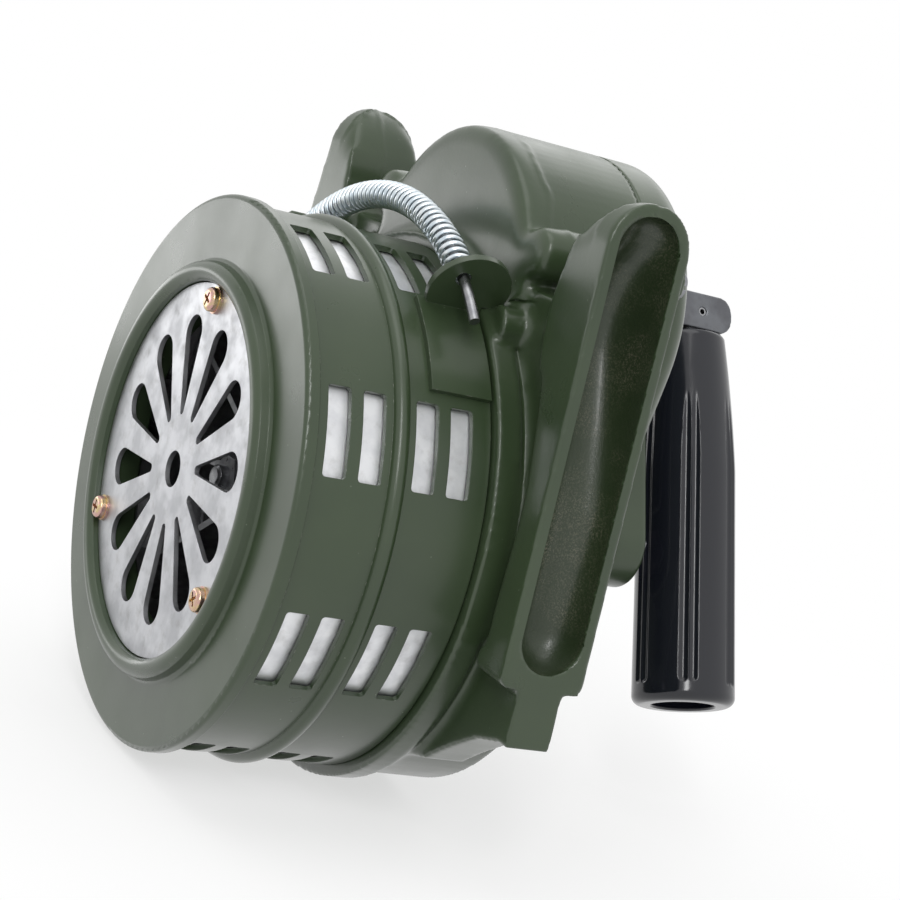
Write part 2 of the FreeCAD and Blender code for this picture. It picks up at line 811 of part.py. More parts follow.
def gearbox_cover():
    """Domed lid with screw lugs and a long boss for the crank shaft."""
    outer = lobe(0, cover_joint, gearbox_end)
    rear = [e for e in outer.Edges if e.BoundBox.YMin > gearbox_end - 0.1]
    outer = outer.makeFillet(gearbox_round, rear)
    body = [outer, disc(cover_boss_radius, gearbox_end - 4, gearbox_end + cover_boss_length, 0, crank_height)]
    for x, z, upper in screw_lug_places():
        body.append(disc(screw_lug_radius, cover_joint, lug_end, x, z))
    cover = fused(body)
    cavity = lobe(casting_wall, cover_joint - 1, cavity_end)
    ends = [e for e in cavity.Edges if e.BoundBox.YMin > cavity_end - 0.1]
    cavity = cavity.makeFillet(gearbox_round - casting_wall, ends)
    bush_boss = disc(countershaft_radius + bush_wall + bush_shoulder, bush_end, gearbox_end, 0, lobe_height)
    stud_boss = disc(stud_radius + stud_boss_wall, stage_one_position + gear_face + 2 * face_gap, gearbox_end,
                     crank_idler_x, crank_idler_z)
    cover = cover.cut(cavity.cut(bush_boss).cut(stud_boss))
    bores = [
        disc(countershaft_radius + bush_wall, bush_end - 1, cavity_end, 0, lobe_height),
        disc(stud_radius, stage_one_position, cavity_end, crank_idler_x, crank_idler_z),
        disc(crank_shaft_radius + bush_wall, cavity_end - 1, gearbox_end + cover_boss_length + 1, 0, crank_height),
    ]
    for x, z, upper in screw_lug_places():
        bores.append(disc(cover_screw_radius + bore_gap, cover_joint - 1, lug_end + 1, x, z))
    return cover.cut(Part.makeCompound(bores))


def cover_screws():
    screws = []
    head_end = lug_end + cover_screw_head_height
    for x, z, upper in screw_lug_places():
        shank = disc(cover_screw_radius, lug_end - cover_screw_length, lug_end, x, z)
        head = disc(cover_screw_head_radius, lug_end, head_end, x, z)
        slot = block(-cover_screw_head_radius, cover_screw_head_radius, head_end - cover_screw_slot_depth,
                     head_end + 1, -cover_screw_slot_width / 2, cover_screw_slot_width / 2)
        slot.translate(Vector(x, 0, z))
        screws.append(shank.fuse(head).removeSplitter().cut(slot))
    return Part.makeCompound(screws)


def gear(teeth, module, face, start, x, z, pointing, thin=0.0):
    """Spur gear whose tooth 0 points at the given angle round +Y, with straight-sided teeth on the involute."""
    pitch = pitch_radius(teeth, module)
    outer = pitch + module
    root = pitch - 1.25 * module
    base = pitch * math.cos(math.radians(pressure_angle))
    half = PI / (2 * teeth) - (backlash + thin) / (4 * pitch)

    def involute(angle):
        return math.tan(angle) - angle

    def half_angle(radius):
        slope = math.acos(min(1.0, base / radius))
        return half + involute(math.radians(pressure_angle)) - involute(slope)
    low = max(base, root + 0.05)
    corners = []
    for i in range(teeth):
        middle = math.radians(pointing) + 2 * PI * i / teeth
        for radius, side in ((root, -1), (low, -1), (outer, -1), (outer, 1), (low, 1), (root, 1)):
            if radius == root and low - root < 0.3:
                continue
            turn = middle + side * half_angle(max(radius, low))
            corners.append(Vector(x + radius * math.sin(turn), start, z + radius * math.cos(turn)))
    blank = Part.Face(Part.makePolygon(corners + [corners[0]]))
    return blank.extrude(Vector(0, face, 0))


def big_gear(stage, start, x, z, pointing, bore):
    """Gear with a thinner web between its hub and its rim."""
    teeth, module = stage
    body = gear(teeth, module, gear_face, start, x, z, pointing)
    rim = pitch_radius(teeth, module) - 3.2 * module
    hub = bore + 4.5
    side = (gear_face - gear_web) / 2
    for y0 in (start - 1, start + gear_face - side):
        body = body.cut(tube(rim, hub, y0, y0 + side + 1, x, z))
    return body.cut(disc(bore, start - 1, start + gear_face + 1, x, z))


def mesh_angle(x0, z0, x1, z1):
    """Direction from one centre to another, as an angle round +Y from +Z towards +X."""
    return math.degrees(math.atan2(x1 - x0, z1 - z0))


def pinion(stage, start, x, z, towards, bore):
    """Small gear with a gap, not a tooth, on the line to the gear it meets."""
    teeth, module = stage
    face = gear_face + pinion_extra
    body = gear(teeth, module, face, start - pinion_extra / 2, x, z, towards + 180 / teeth)
    return body.cut(disc(bore, start - 2, start + face + 2, x, z))


def meshed(teeth, pointing, towards, other_teeth):
    """Where tooth 0 of a gear points so that it meets one with tooth 0 at a known angle."""
    step = 360 / teeth
    ahead = (pointing - towards + step / 2) % step - step / 2
    return towards + 180 - ahead * teeth / other_teeth + 180 / other_teeth


def crank_idler_pointing():
    return mesh_angle(crank_idler_x, crank_idler_z, 0, lobe_height)


def crank_gear():
    towards = mesh_angle(crank_idler_x, crank_idler_z, 0, crank_height)
    pointing = meshed(crank_idler_teeth, crank_idler_pointing(), towards, stage_one[0])
    return big_gear((stage_one[0], stage_one[2]), stage_one_position, 0, crank_height, pointing, crank_shaft_radius)


def crank_idler():
    """Gear on its own stud, so that the crank and the rotor turn the same way on one axis."""
    body = gear(crank_idler_teeth, stage_one[2], gear_face, stage_one_position, crank_idler_x, crank_idler_z,
                crank_idler_pointing())
    return body.cut(disc(stud_radius + bore_gap, stage_one_position - 1, stage_one_position + gear_face + 1,
                         crank_idler_x, crank_idler_z))


def crank_idler_stud():
    """Headed stud in the cover's boss."""
    head_end = stage_one_position - face_gap
    head = disc(stud_radius + 2, head_end - stud_head, head_end, crank_idler_x, crank_idler_z)
    return fused([head, disc(stud_radius, head_end - stud_head, cavity_end, crank_idler_x, crank_idler_z)])


def first_pinion():
    towards = mesh_angle(0, lobe_height, crank_idler_x, crank_idler_z)
    return pinion((stage_one[1], stage_one[2]), stage_one_position, 0, lobe_height, towards, countershaft_radius)


def first_gear():
    towards = mesh_angle(0, lobe_height, idler_x, idler_z)
    return big_gear((stage_two[0], stage_two[2]), stage_two_position, 0, lobe_height, towards, countershaft_radius)


def second_pinion():
    """Pinion with a long sleeve that carries the second gear and runs on the stud."""
    towards = mesh_angle(idler_x, idler_z, 0, lobe_height)
    bore = stud_radius + bore_gap
    toothed = pinion((stage_two[1], stage_two[2]), stage_two_position, idler_x, idler_z, towards, bore)
    sleeve = tube(stud_radius + 3, bore, stage_three_position, stage_two_position - pinion_extra / 2, idler_x, idler_z)
    return fused([toothed, sleeve])


def second_gear():
    towards = mesh_angle(idler_x, idler_z, 0, 0)
    return big_gear((stage_three[0], stage_three[2]), stage_three_position, idler_x, idler_z, towards, stud_radius + 3)


def rotor_pinion():
    towards = mesh_angle(0, 0, idler_x, idler_z)
    return pinion((stage_three[1], stage_three[2]), stage_three_position, 0, 0, towards, rotor_shaft_radius)


def countershaft():
    start = cavity_start + face_gap
    end = cavity_end - face_gap
    shaft = disc(countershaft_radius, start, end, 0, lobe_height)
    collar_start = stage_two_position + gear_face
    collar = disc(countershaft_radius + shaft_collar, collar_start, stage_one_position - pinion_extra / 2, 0, lobe_height)
    return fused([shaft, collar])


def countershaft_bushes():
    outer = countershaft_radius + bush_wall
    inner = countershaft_radius + bore_gap
    front = tube(outer, inner, cavity_start, cavity_start + bush_length, 0, lobe_height)
    rear = tube(outer, inner, bush_end, cavity_end, 0, lobe_height)
    return Part.makeCompound([front, rear])


def crank_bushes():
    outer = crank_shaft_radius + bush_wall
    inner = crank_shaft_radius + bore_gap
    start = cavity_end
    end = gearbox_end + cover_boss_length
    front = tube(outer, inner, start, start + bush_length, 0, crank_height)
    rear = tube(outer, inner, end - bush_length, end, 0, crank_height)
    return Part.makeCompound([front, rear])


def idler_stud():
    head = disc(stud_radius + 2, stud_end - stud_head, stud_end, idler_x, idler_z)
    return fused([disc(stud_radius, cavity_start, stud_end, idler_x, idler_z), head])


def idler_washer():
    """Spacer between the casting's boss and the second gear."""
    start = idler_boss_end
    end = stage_three_position - face_gap
    return tube(stud_radius + 3, stud_radius + bore_gap, start, end, idler_x, idler_z)


def bearing_rings(outer, inner):
    """One ring of each of the rotor's two bearings."""
    return Part.makeCompound([tube(outer, inner, y, y + bearing_width)
                              for y in (bearing_start, second_bearing_start)])


def rotor_shaft():
    """Threaded nose, seat for the rotor, bearing seats and the pinion's seat."""
    end = stage_three_position + gear_face + pinion_extra
    seat_start = rotor_hub_front
    return turned(
        (0, rotor_shaft_front),
        (rotor_thread_radius - 0.8, rotor_shaft_front),
        (rotor_thread_radius, rotor_shaft_front + 0.8),
        (rotor_thread_radius, seat_start),
        (rotor_shaft_radius, seat_start),
        (rotor_shaft_radius, end - 0.6),
        (rotor_shaft_radius - 0.6, end),
        (0, end),
    )


def rotor_spacer():
    """Sleeve between the rotor's hub and the inner ring, and between the two rings."""
    outer = rotor_shaft_radius + bearing_race
    front = tube(outer, rotor_shaft_radius, rotor_back, bearing_start)
    middle = tube(outer, rotor_shaft_radius, bearing_start + bearing_width, second_bearing_start)
    rear = tube(outer, rotor_shaft_radius, second_bearing_start + bearing_width,
                stage_three_position - pinion_extra / 2)
    return Part.makeCompound([front, middle, rear])


def rotor_washer():
    end = rotor_hub_front
    return tube(rotor_washer_radius, rotor_thread_radius, end - rotor_washer_thickness, end)


def rotor_nut():
    end = rotor_hub_front - rotor_washer_thickness
    nut = hexagon(rotor_nut_size, end - rotor_nut_height, end)
    return nut.cut(disc(rotor_thread_radius, end - rotor_nut_height - 1, end + 1))


def siren_rotor():
    """Fan with a ported rim: radial vanes between the hub and the rim on a back disc."""
    inner = rotor_radius - rotor_rim
    rim = tube(rotor_radius, inner, rotor_front, rotor_back)
    rim = rim.cut(port_cutters(inner, rotor_radius, port_first_angle, 0))
    back = disc(rotor_radius, rotor_back - rotor_disc, rotor_back)
    hub = disc(rotor_hub_radius, rotor_hub_front, rotor_back)
    pieces = [rim, back, hub]
    eye = throat_radius - 2
    for i in range(vane_count):
        wire = outline(
            Vector(-vane_thickness / 2, rotor_back - 1, rotor_hub_radius - 2),
            Vector(-vane_thickness / 2, rotor_hub_front + 4, rotor_hub_radius - 2),
            Vector(-vane_thickness / 2, vane_front, eye),
            Vector(-vane_thickness / 2, vane_front, rotor_radius - rotor_rim / 2),
            Vector(-vane_thickness / 2, rotor_back - 1, rotor_radius - rotor_rim / 2),
        )
        vane = Part.Face(wire).extrude(Vector(vane_thickness, 0, 0))
        gap_middle = port_first_angle + 180 / port_groups
        pieces.append(spun(vane, gap_middle + i * 360 / vane_count))
    rotor = fused(pieces)
    return rotor.cut(disc(rotor_shaft_radius, rotor_hub_front - 1, rotor_back + 1))


def at_rest(shape):
    """Turns a crank piece, modelled with the arm straight up, to where the crank stands."""
    return spun(shape, crank_rest_angle, Vector(0, 0, crank_height))


def crank_shaft():
    """Plain journal, shoulder for the arm and a threaded tail."""
    start = stage_one_position - pinion_extra / 2
    tail = arm_front + arm_thickness
    journal = disc(crank_shaft_radius, start, tail - 1.0, 0, crank_height)
    thread = disc(crank_shaft_thread, tail - 1.0, tail + crank_nut_height, 0, crank_height)
    collar = disc(crank_shaft_radius + shaft_collar, stage_one_position + gear_face, cavity_end - face_gap,
                  0, crank_height)
    return fused([journal, thread, collar])


def crank_nut():
    start = arm_front + arm_thickness
    end = start + crank_nut_height
    nut = hexagon(crank_nut_size, start, end, 0, crank_height)
    return at_rest(nut.cut(disc(crank_shaft_thread, start - 1, end + 1, 0, crank_height)))


def cross_hole(radius, y, z, width):
    """A cylinder along the hinge's axis, which lies along X while the arm stands up."""
    return Part.makeCylinder(radius, width, Vector(-width / 2, y, z), Vector(1, 0, 0))


def arm_bar(start, end):
    """Two rounded ends joined by straight sides: the arm seen along the drum."""
    lean = math.asin((arm_hub_radius - arm_end_radius) / crank_throw)
    side_x, side_z = math.cos(lean), math.sin(lean)

    def on(radius, height, side):
        return Vector(side * radius * side_x, start, height + radius * side_z)
    face = Part.Face(outline(
        on(arm_hub_radius, crank_height, 1),
        on(arm_end_radius, hinge_z, 1),
        (Vector(0, start, hinge_z + arm_end_radius), on(arm_end_radius, hinge_z, -1)),
        on(arm_hub_radius, crank_height, -1),
        (Vector(0, start, crank_height - arm_hub_radius), on(arm_hub_radius, crank_height, 1)),
    ))
    return face.extrude(Vector(0, end - start, 0))


def crank_arm():
    """Cast arm with a hub, a shallow pocket and a fork for the folding link."""
    rear = arm_front + arm_thickness
    arm = arm_bar(arm_front, rear)
    arm = arm.makeFillet(arm_edge, [e for e in arm.Edges if e.BoundBox.YLength < 0.1])
    collar = disc(arm_hub_radius - 1, gearbox_end + cover_boss_length + face_gap, arm_front + 1, 0, crank_height)
    pocket = block(-arm_pocket_width / 2, arm_pocket_width / 2, rear - arm_pocket_depth, rear + 1,
                   crank_height + arm_hub_radius + 1, hinge_z - fork_height / 2 - 5)
    pocket = pocket.makeFillet(4.0, [e for e in pocket.Edges if e.BoundBox.YLength > 1])
    fork = block(-fork_width / 2, fork_width / 2, rear - 2, rear + fork_length,
                 hinge_z - fork_height / 2, hinge_z + fork_height / 2)
    ends = [e for e in fork.Edges if e.BoundBox.XLength > 1 and e.BoundBox.YMin > rear + 1]
    fork = fork.makeFillet(fork_corner, ends)
    half_slot = link_tongue / 2 + link_side_gap
    slot = block(-half_slot, half_slot, hinge_y - link_height / 2 - 2 * face_gap, rear + fork_length + 1,
                 hinge_z - fork_height, hinge_z + fork_height + arm_end_radius)
    arm = fused([arm, collar, fork]).cut(pocket).cut(slot)
    holes = [
        cross_hole(hinge_pin_radius, hinge_y, hinge_z, fork_width + 2),
        disc(crank_shaft_radius, arm_front - 6, rear - 1.0, 0, crank_height),
        disc(crank_shaft_thread, arm_front - 6, rear + 1, 0, crank_height),
    ]
    return at_rest(arm.cut(Part.makeCompound(holes)))


def hinge_pin():
    return at_rest(cross_hole(hinge_pin_radius, hinge_y, hinge_z, fork_width))


def folding_link():
    """Link on the hinge: a rounded tongue in the fork and a thicker body round the spindle."""
    half = link_height / 2
    low = hinge_z - half
    high = hinge_z + half
    tongue = block(-link_tongue / 2, link_tongue / 2, hinge_y, hinge_y + link_nose + 1, low, high)
    tongue = tongue.fuse(cross_hole(half, hinge_y, hinge_z, link_tongue))
    body = block(-link_width / 2, link_width / 2, hinge_y + link_nose, hinge_y + link_length, low, high)
    rear = [e for e in body.Edges if e.BoundBox.YMin > hinge_y + link_length - 1]
    body = body.makeFillet(link_corner, [e for e in rear if e.BoundBox.XLength > 1])
    link = fused([tongue, body])
    holes = [
        cross_hole(hinge_pin_radius + bore_gap, hinge_y, hinge_z, fork_width),
        cross_hole(roll_pin_radius, grip_y, hinge_z, fork_width),
        Part.makeCylinder(spindle_radius, spindle_depth + 1, Vector(0, grip_y, low - 1), Vector(0, 0, 1)),
    ]
    return at_rest(link.cut(Part.makeCompound(holes)))


def roll_pin():
    """Hollow pin that holds the spindle in the link."""
    pin = cross_hole(roll_pin_radius, grip_y, hinge_z, link_width - 2 * roll_pin_short)
    return at_rest(pin.cut(cross_hole(roll_pin_bore, grip_y, hinge_z, link_width)))


def hung(shape):
    """Moves a piece modelled along +Y from the hinge's height to where the folded grip hangs."""
    copy = shape.copy()
    copy.rotate(ORIGIN, Vector(1, 0, 0), -90)
    copy.translate(Vector(0, grip_y, hinge_z))
    return at_rest(copy)


def grip_spindle():
    """Steel core that the grip turns on, pinned in the link, with a collar above the grip."""
    top = link_height / 2 - spindle_depth
    spindle = turned(
        (0, top),
        (spindle_radius, top),
        (spindle_radius, spindle_end),
        (0, spindle_end),
    )
    collar = disc(spindle_collar_radius, link_height / 2, grip_start - face_gap)
    spindle = fused([spindle, collar])
    holes = [
        Part.makeCylinder(roll_pin_radius, 4 * spindle_radius, Vector(-2 * spindle_radius, 0, 0), Vector(1, 0, 0)),
        disc(grip_screw_radius, spindle_end - grip_screw_length, spindle_end + 1),
    ]
    return hung(spindle.cut(Part.makeCompound(holes)))


def grip_screw():
    """Screw in the spindle's end, whose head keeps the grip on."""
    head_end = spindle_end + grip_screw_head_height
    screw = fused([
        disc(grip_screw_radius, spindle_end - grip_screw_length, spindle_end),
        disc(grip_screw_head_radius, spindle_end, head_end),
    ])
    slot = block(-grip_screw_head_radius, grip_screw_head_radius, head_end - screw_slot_depth, head_end + 1,
                 -screw_slot_width / 2, screw_slot_width / 2)
    return hung(screw.cut(slot))


def grip():
    """Moulded handle: smooth neck, swelling body, wide flutes between groups of three ribs."""
    start = grip_start
    end = start + grip_length
    swell = (grip_middle_radius - grip_neck_radius) * 0.57
    body = turned(
        (spindle_radius + bore_gap, start),
        (grip_neck_radius - 1.0, start),
        ((grip_neck_radius - 0.3, start + 0.3), (grip_neck_radius, start + 1.0)),
        ((grip_neck_radius + swell, start + grip_neck_length * 0.43), (grip_middle_radius, start + grip_neck_length)),
        ((grip_end_radius - 0.1, (start + grip_neck_length + end) / 2), (grip_end_radius, end - grip_round)),
        ((grip_end_radius - grip_round * 0.293, end - grip_round * 0.293), (grip_end_radius - grip_round, end)),
        (end_recess_radius, end),
        (end_recess_radius, end - end_recess_depth),
        (spindle_radius + bore_gap, end - end_recess_depth),
    )
    ribs_from = start + rib_start
    ribs_length = grip_length - rib_start - rib_end
    cutters = []
    for i in range(rib_groups):
        middle = i * 360 / rib_groups
        for side in (-0.5, 0.5):
            place = polar(grip_middle_radius + groove_radius * 0.4, middle + side * rib_pitch)
            cutters.append(Part.makeCylinder(groove_radius, ribs_length, Vector(place.x, ribs_from, place.z), AXIS_Y))
        place = polar(grip_middle_radius + flute_radius - flute_depth, middle + 180 / rib_groups)
        cutters.append(Part.makeCylinder(flute_radius, ribs_length, Vector(place.x, ribs_from, place.z), AXIS_Y))
    return hung(body.cut(Part.makeCompound(cutters)))


pieces = {
    "front_cover": front_cover(),
    "guard_plate": guard_plate(),
    "guard_washers": guard_washers(),
    "guard_screws": guard_screws(),
    "stator_ring": stator_ring(),
    "shutter_ring": shutter_ring(),
    "shutter_lever": shutter_lever(),
    "lever_rivets": lever_rivet_shapes(True),
    "return_spring": return_spring(),
    "spring_rod": spring_rod(),
    "rod_nut": rod_nut(),
    "rear_casting": rear_casting(),
    "handle_right": handle_right(),
    "handle_left": mirrored(handle_right()),
    "gearbox_cover": gearbox_cover(),
    "cover_screws": cover_screws(),
    "siren_rotor": siren_rotor(),
    "rotor_shaft": rotor_shaft(),
    "rotor_spacers": rotor_spacer(),
    "rotor_washer": rotor_washer(),
    "rotor_nut": rotor_nut(),
    "bearing_inner_rings": bearing_rings(rotor_shaft_radius + bearing_race, rotor_shaft_radius),
    "bearing_outer_rings": bearing_rings(bearing_outer, bearing_outer - bearing_race),
    "rotor_pinion": rotor_pinion(),
    "second_gear": second_gear(),
    "second_pinion": second_pinion(),
    "idler_stud": idler_stud(),
    "idler_washer": idler_washer(),
    "countershaft": countershaft(),
    "countershaft_bushes": countershaft_bushes(),
    "first_gear": first_gear(),
    "first_pinion": first_pinion(),
    "crank_shaft": crank_shaft(),
    "crank_gear": crank_gear(),
    "crank_idler": crank_idler(),
    "crank_idler_stud": crank_idler_stud(),
    "crank_bushes": crank_bushes(),
    "crank_arm": crank_arm(),
    "crank_nut": crank_nut(),
    "hinge_pin": hinge_pin(),
    "folding_link": folding_link(),
    "roll_pin": roll_pin(),
    "grip_spindle": grip_spindle(),
    "grip_screw": grip_screw(),
    "grip": grip(),
}

# The flange is the lowest piece, the lip the foremost and the grip or its link the rearmost.
rear_end = max(grip_y + grip_end_radius, hinge_y + link_length)
stand = Vector(0, (lip_height - rear_end) / 2, flange_radius)
print("drum axis moved by", stand)
for name, shape in pieces.items():
    shape.translate(stand)
    shape.exportStep("parts/%s.step" % name)
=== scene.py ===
# %% [markdown]
# # Hand crank siren
# The siren is a cast drum with a fan rotor inside, a ported ring round it, and a crank with a folding
# grip.

# %% Load the frame
import math

import bmesh
import bpy
import numpy as np
from mathutils import Matrix, Vector, noise


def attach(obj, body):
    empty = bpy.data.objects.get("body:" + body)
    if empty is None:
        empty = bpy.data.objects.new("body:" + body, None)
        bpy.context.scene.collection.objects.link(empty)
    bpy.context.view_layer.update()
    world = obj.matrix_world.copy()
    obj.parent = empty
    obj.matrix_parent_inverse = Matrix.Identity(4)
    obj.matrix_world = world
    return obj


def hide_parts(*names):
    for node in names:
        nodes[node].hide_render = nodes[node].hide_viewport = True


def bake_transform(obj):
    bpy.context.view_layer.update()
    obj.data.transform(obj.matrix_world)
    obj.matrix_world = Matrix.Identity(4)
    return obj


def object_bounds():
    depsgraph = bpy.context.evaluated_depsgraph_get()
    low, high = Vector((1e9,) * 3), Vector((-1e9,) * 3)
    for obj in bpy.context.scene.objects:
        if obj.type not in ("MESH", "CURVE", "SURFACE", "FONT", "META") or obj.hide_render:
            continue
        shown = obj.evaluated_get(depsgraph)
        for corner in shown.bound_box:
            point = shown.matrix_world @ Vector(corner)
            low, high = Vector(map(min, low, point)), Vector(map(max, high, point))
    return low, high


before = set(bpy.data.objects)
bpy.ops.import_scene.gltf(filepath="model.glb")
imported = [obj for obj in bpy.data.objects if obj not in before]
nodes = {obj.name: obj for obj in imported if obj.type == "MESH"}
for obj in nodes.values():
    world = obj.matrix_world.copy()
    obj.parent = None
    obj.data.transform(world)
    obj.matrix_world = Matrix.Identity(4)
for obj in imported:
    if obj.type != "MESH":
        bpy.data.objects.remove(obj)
cad_low, cad_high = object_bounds()
MM = 0.001

# %% [markdown]
# ## The camera
# The camera was solved from the picture: the drum's circles and the handle's straight edges fix where
# it stood, how far it was rolled and how long its lens was. A camera looks along its own -Z axis, so
# its rotation is written as three directions, and the roll comes with them.

# %% Place the camera
CAMERA_PLACE = Vector((0.5793, -0.34215, 0.2099))
CAMERA_RIGHT = Vector((0.439, 0.857, 0.270)).normalized()
CAMERA_AHEAD = Vector((-0.857, 0.490, -0.160))
FOCAL_PIXELS = 2241.6
PICTURE_PIXELS = 900
SENSOR_WIDTH = 36.0

ahead = (CAMERA_AHEAD - CAMERA_RIGHT * CAMERA_AHEAD.dot(CAMERA_RIGHT)).normalized()
up = CAMERA_RIGHT.cross(ahead)
camera_data = bpy.data.cameras.new("camera")
camera_data.sensor_width = SENSOR_WIDTH
camera_data.lens = FOCAL_PIXELS / PICTURE_PIXELS * SENSOR_WIDTH
camera_data.clip_start = 0.01
camera = bpy.data.objects.new("camera", camera_data)
bpy.context.scene.collection.objects.link(camera)
turn = Matrix((CAMERA_RIGHT, up, -ahead)).transposed()
camera.matrix_world = Matrix.Translation(CAMERA_PLACE) @ turn.to_4x4()
bpy.context.scene.camera = camera
bpy.context.scene.view_settings.view_transform = "Standard"
print("lens", round(camera_data.lens, 2), "mm")

# %% [markdown]
# ## Colours and nodes
# Colours are written as the sRGB hex values that a colour picker shows. Blender's shaders work in
# linear light, so one function turns hex into linear. A second small function adds a shader node with
# its settings and its links, which keeps each material short enough to read. Texture scales are given
# as the size of a feature in real millimetres.

# %% Colour and node helpers
def linear(text):
    """An sRGB hex colour as linear RGBA."""
    values = [int(text[i:i + 2], 16) / 255 for i in (1, 3, 5)]
    return [v / 12.92 if v <= 0.04045 else ((v + 0.055) / 1.055) ** 2.4 for v in values] + [1.0]


def add(tree, kind, inputs=None, stops=(), **settings):
    """Adds a node. An input is a value, a hex colour or another node's output socket to link.

    Stops are a colour ramp's positions with their colours, where a plain number is a grey.
    """
    node = tree.nodes.new("ShaderNode" + kind)
    for name, value in settings.items():
        setattr(node, name, value)
    for name, value in (inputs or {}).items():
        socket = node.inputs[name]
        if isinstance(value, bpy.types.NodeSocket):
            tree.links.new(value, socket)
        else:
            socket.default_value = linear(value) if isinstance(value, str) else value
    for index, (position, colour) in enumerate(stops):
        element = node.color_ramp.elements[index]
        element.position = position
        element.color = linear(colour) if isinstance(colour, str) else (colour, colour, colour, 1)
    return node


def start_material(name):
    """An empty material: its node tree, its Principled shader and object coordinates in metres."""
    material = bpy.data.materials.new(name)
    material.use_nodes = True
    tree = material.node_tree
    tree.nodes.clear()
    shader = add(tree, "BsdfPrincipled")
    add(tree, "OutputMaterial", {"Surface": shader.outputs[0]})
    place = add(tree, "TexCoord").outputs["Object"]
    return material, tree, shader, place


def per_mm(size):
    """The scale of a texture whose features are this many millimetres across."""
    return 1000.0 / size


print("#808080 is", round(linear("#808080")[0], 3), "in linear light")

# %% [markdown]
# ## The room
# The picture is a product shot on white with soft light from large panels. The world lights the siren
# as a pale room. Light Path makes it plain white to the camera and to mirroring surfaces, without
# adding light to the object.

# %% World
ROOM_LIGHT = 0.74
world = bpy.data.worlds.new("pale_room")
bpy.context.scene.world = world
world.use_nodes = True
tree = world.node_tree
tree.nodes.clear()
path = add(tree, "LightPath").outputs
through = add(tree, "Math", {0: path["Is Camera Ray"], 1: path["Is Transmission Ray"]}, operation="MAXIMUM")
seen = add(tree, "Math", {0: through.outputs[0], 1: path["Is Glossy Ray"]}, operation="MAXIMUM")
height = add(tree, "SeparateXYZ", {0: add(tree, "TexCoord").outputs["Generated"]}).outputs["Z"]
sky = add(tree, "ValToRGB", {"Fac": height}, stops=((0.0, "#cfd2d2"), (0.6, "#ffffff")))
room = add(tree, "Background", {"Color": sky.outputs["Color"], "Strength": ROOM_LIGHT})
white = add(tree, "Background", {"Color": "#ffffff", "Strength": 1.0})
both = add(tree, "MixShader", {0: seen.outputs[0], 1: room.outputs[0], 2: white.outputs[0]})
add(tree, "OutputWorld", {"Surface": both.outputs[0]})
print("room light", ROOM_LIGHT)

# %% [markdown]
# ## The floor
# The floor is matt and pale and keeps a soft shadow. Near the siren the camera sees it lit, a little
# lifted so that the shadow stays faint as in the picture, and farther out it fades to white. Gloss and
# metal mirror it as white.

# %% Floor
FLOOR_REACH = 3.0
FLOOR_SINK = 0.2
FADE_START, FADE_END = 0.16, 0.42
SHADOW_LIFT = 0.62
floor_mesh = bpy.data.meshes.new("floor")
corners = [(x * FLOOR_REACH, y * FLOOR_REACH, 0.0) for x, y in ((-1, -1), (1, -1), (1, 1), (-1, 1))]
floor_mesh.from_pydata(corners, [], [(0, 1, 2, 3)])
floor = bpy.data.objects.new("floor", floor_mesh)
floor.location.z = -FLOOR_SINK * MM
bpy.context.scene.collection.objects.link(floor)

material, tree, shader, place = start_material("pale_floor")
shader.inputs["Base Color"].default_value = linear("#cfcfcf")
shader.inputs["Roughness"].default_value = 0.9
far = add(tree, "VectorMath", {0: place}, operation="LENGTH").outputs["Value"]
fade = add(tree, "MapRange", {"Value": far, "From Min": FADE_START, "From Max": FADE_END}).outputs[0]
white = add(tree, "Emission", {"Color": "#ffffff", "Strength": 1.0}).outputs[0]
lit = add(tree, "BsdfDiffuse", {"Color": "#a8a8a8"}).outputs[0]
lift = add(tree, "Emission", {"Strength": SHADOW_LIFT}).outputs[0]
lifted = add(tree, "AddShader", {0: lit, 1: lift}).outputs[0]
near = add(tree, "MixShader", {0: fade, 1: lifted, 2: white}).outputs[0]
path = add(tree, "LightPath").outputs
mirrored = add(tree, "MixShader", {0: path["Is Glossy Ray"], 1: shader.outputs[0], 2: white}).outputs[0]
look = add(tree, "MixShader", {0: path["Is Camera Ray"], 1: mirrored, 2: near}).outputs[0]
tree.links.new(look, tree.nodes["Material Output"].inputs["Surface"])
floor_mesh.materials.append(material)
print("floor half width", FLOOR_REACH, "m")

# %% [markdown]
# ## The lights
# The gloss tells where the picture's light panels stood. The flat front face mirrors a low wide panel
# at the left, the top of the gearbox mirrors one high behind, and the bright lines along the grip come
# from a narrow upright panel over the camera's right. A weak one above fills the hollows.

# %% Light panels
CENTRE = (cad_low + cad_high) / 2


def panel(name, place, size, power):
    """A soft light panel that faces the middle of the siren."""
    light = bpy.data.lights.new(name, "AREA")
    light.shape = "RECTANGLE"
    light.size, light.size_y = size
    light.energy = power
    lamp = bpy.data.objects.new(name, light)
    lamp.location = place
    lamp.rotation_euler = (CENTRE - Vector(place)).to_track_quat("-Z", "Y").to_euler()
    bpy.context.scene.collection.objects.link(lamp)


panel("left_panel", (-0.62, -0.46, 0.075), (0.9, 0.14), 0.72)
panel("back_panel", (-0.75, 0.70, 0.95), (1.1, 0.8), 2.3)
panel("camera_panel", (1.12, -0.65, 0.97), (0.24, 0.8), 6.5)
panel("top_panel", (0.05, -0.25, 1.10), (0.8, 0.6), 1.8)

# %% [markdown]
# ## Army green enamel
# The castings and the drum are sprayed with a semi-gloss alkyd enamel. A sprayed coat isn't quite
# level: it has a fine orange peel about a millimetre across, holds dust nibs, and wears through to
# bright metal along sharp edges. The colour drifts a little over a hand's width. The sheet pieces keep
# their sharp CAD edges, so their shader rounds and wears them. The castings get real round edges in
# later cells, and their shader leaves the edges alone.

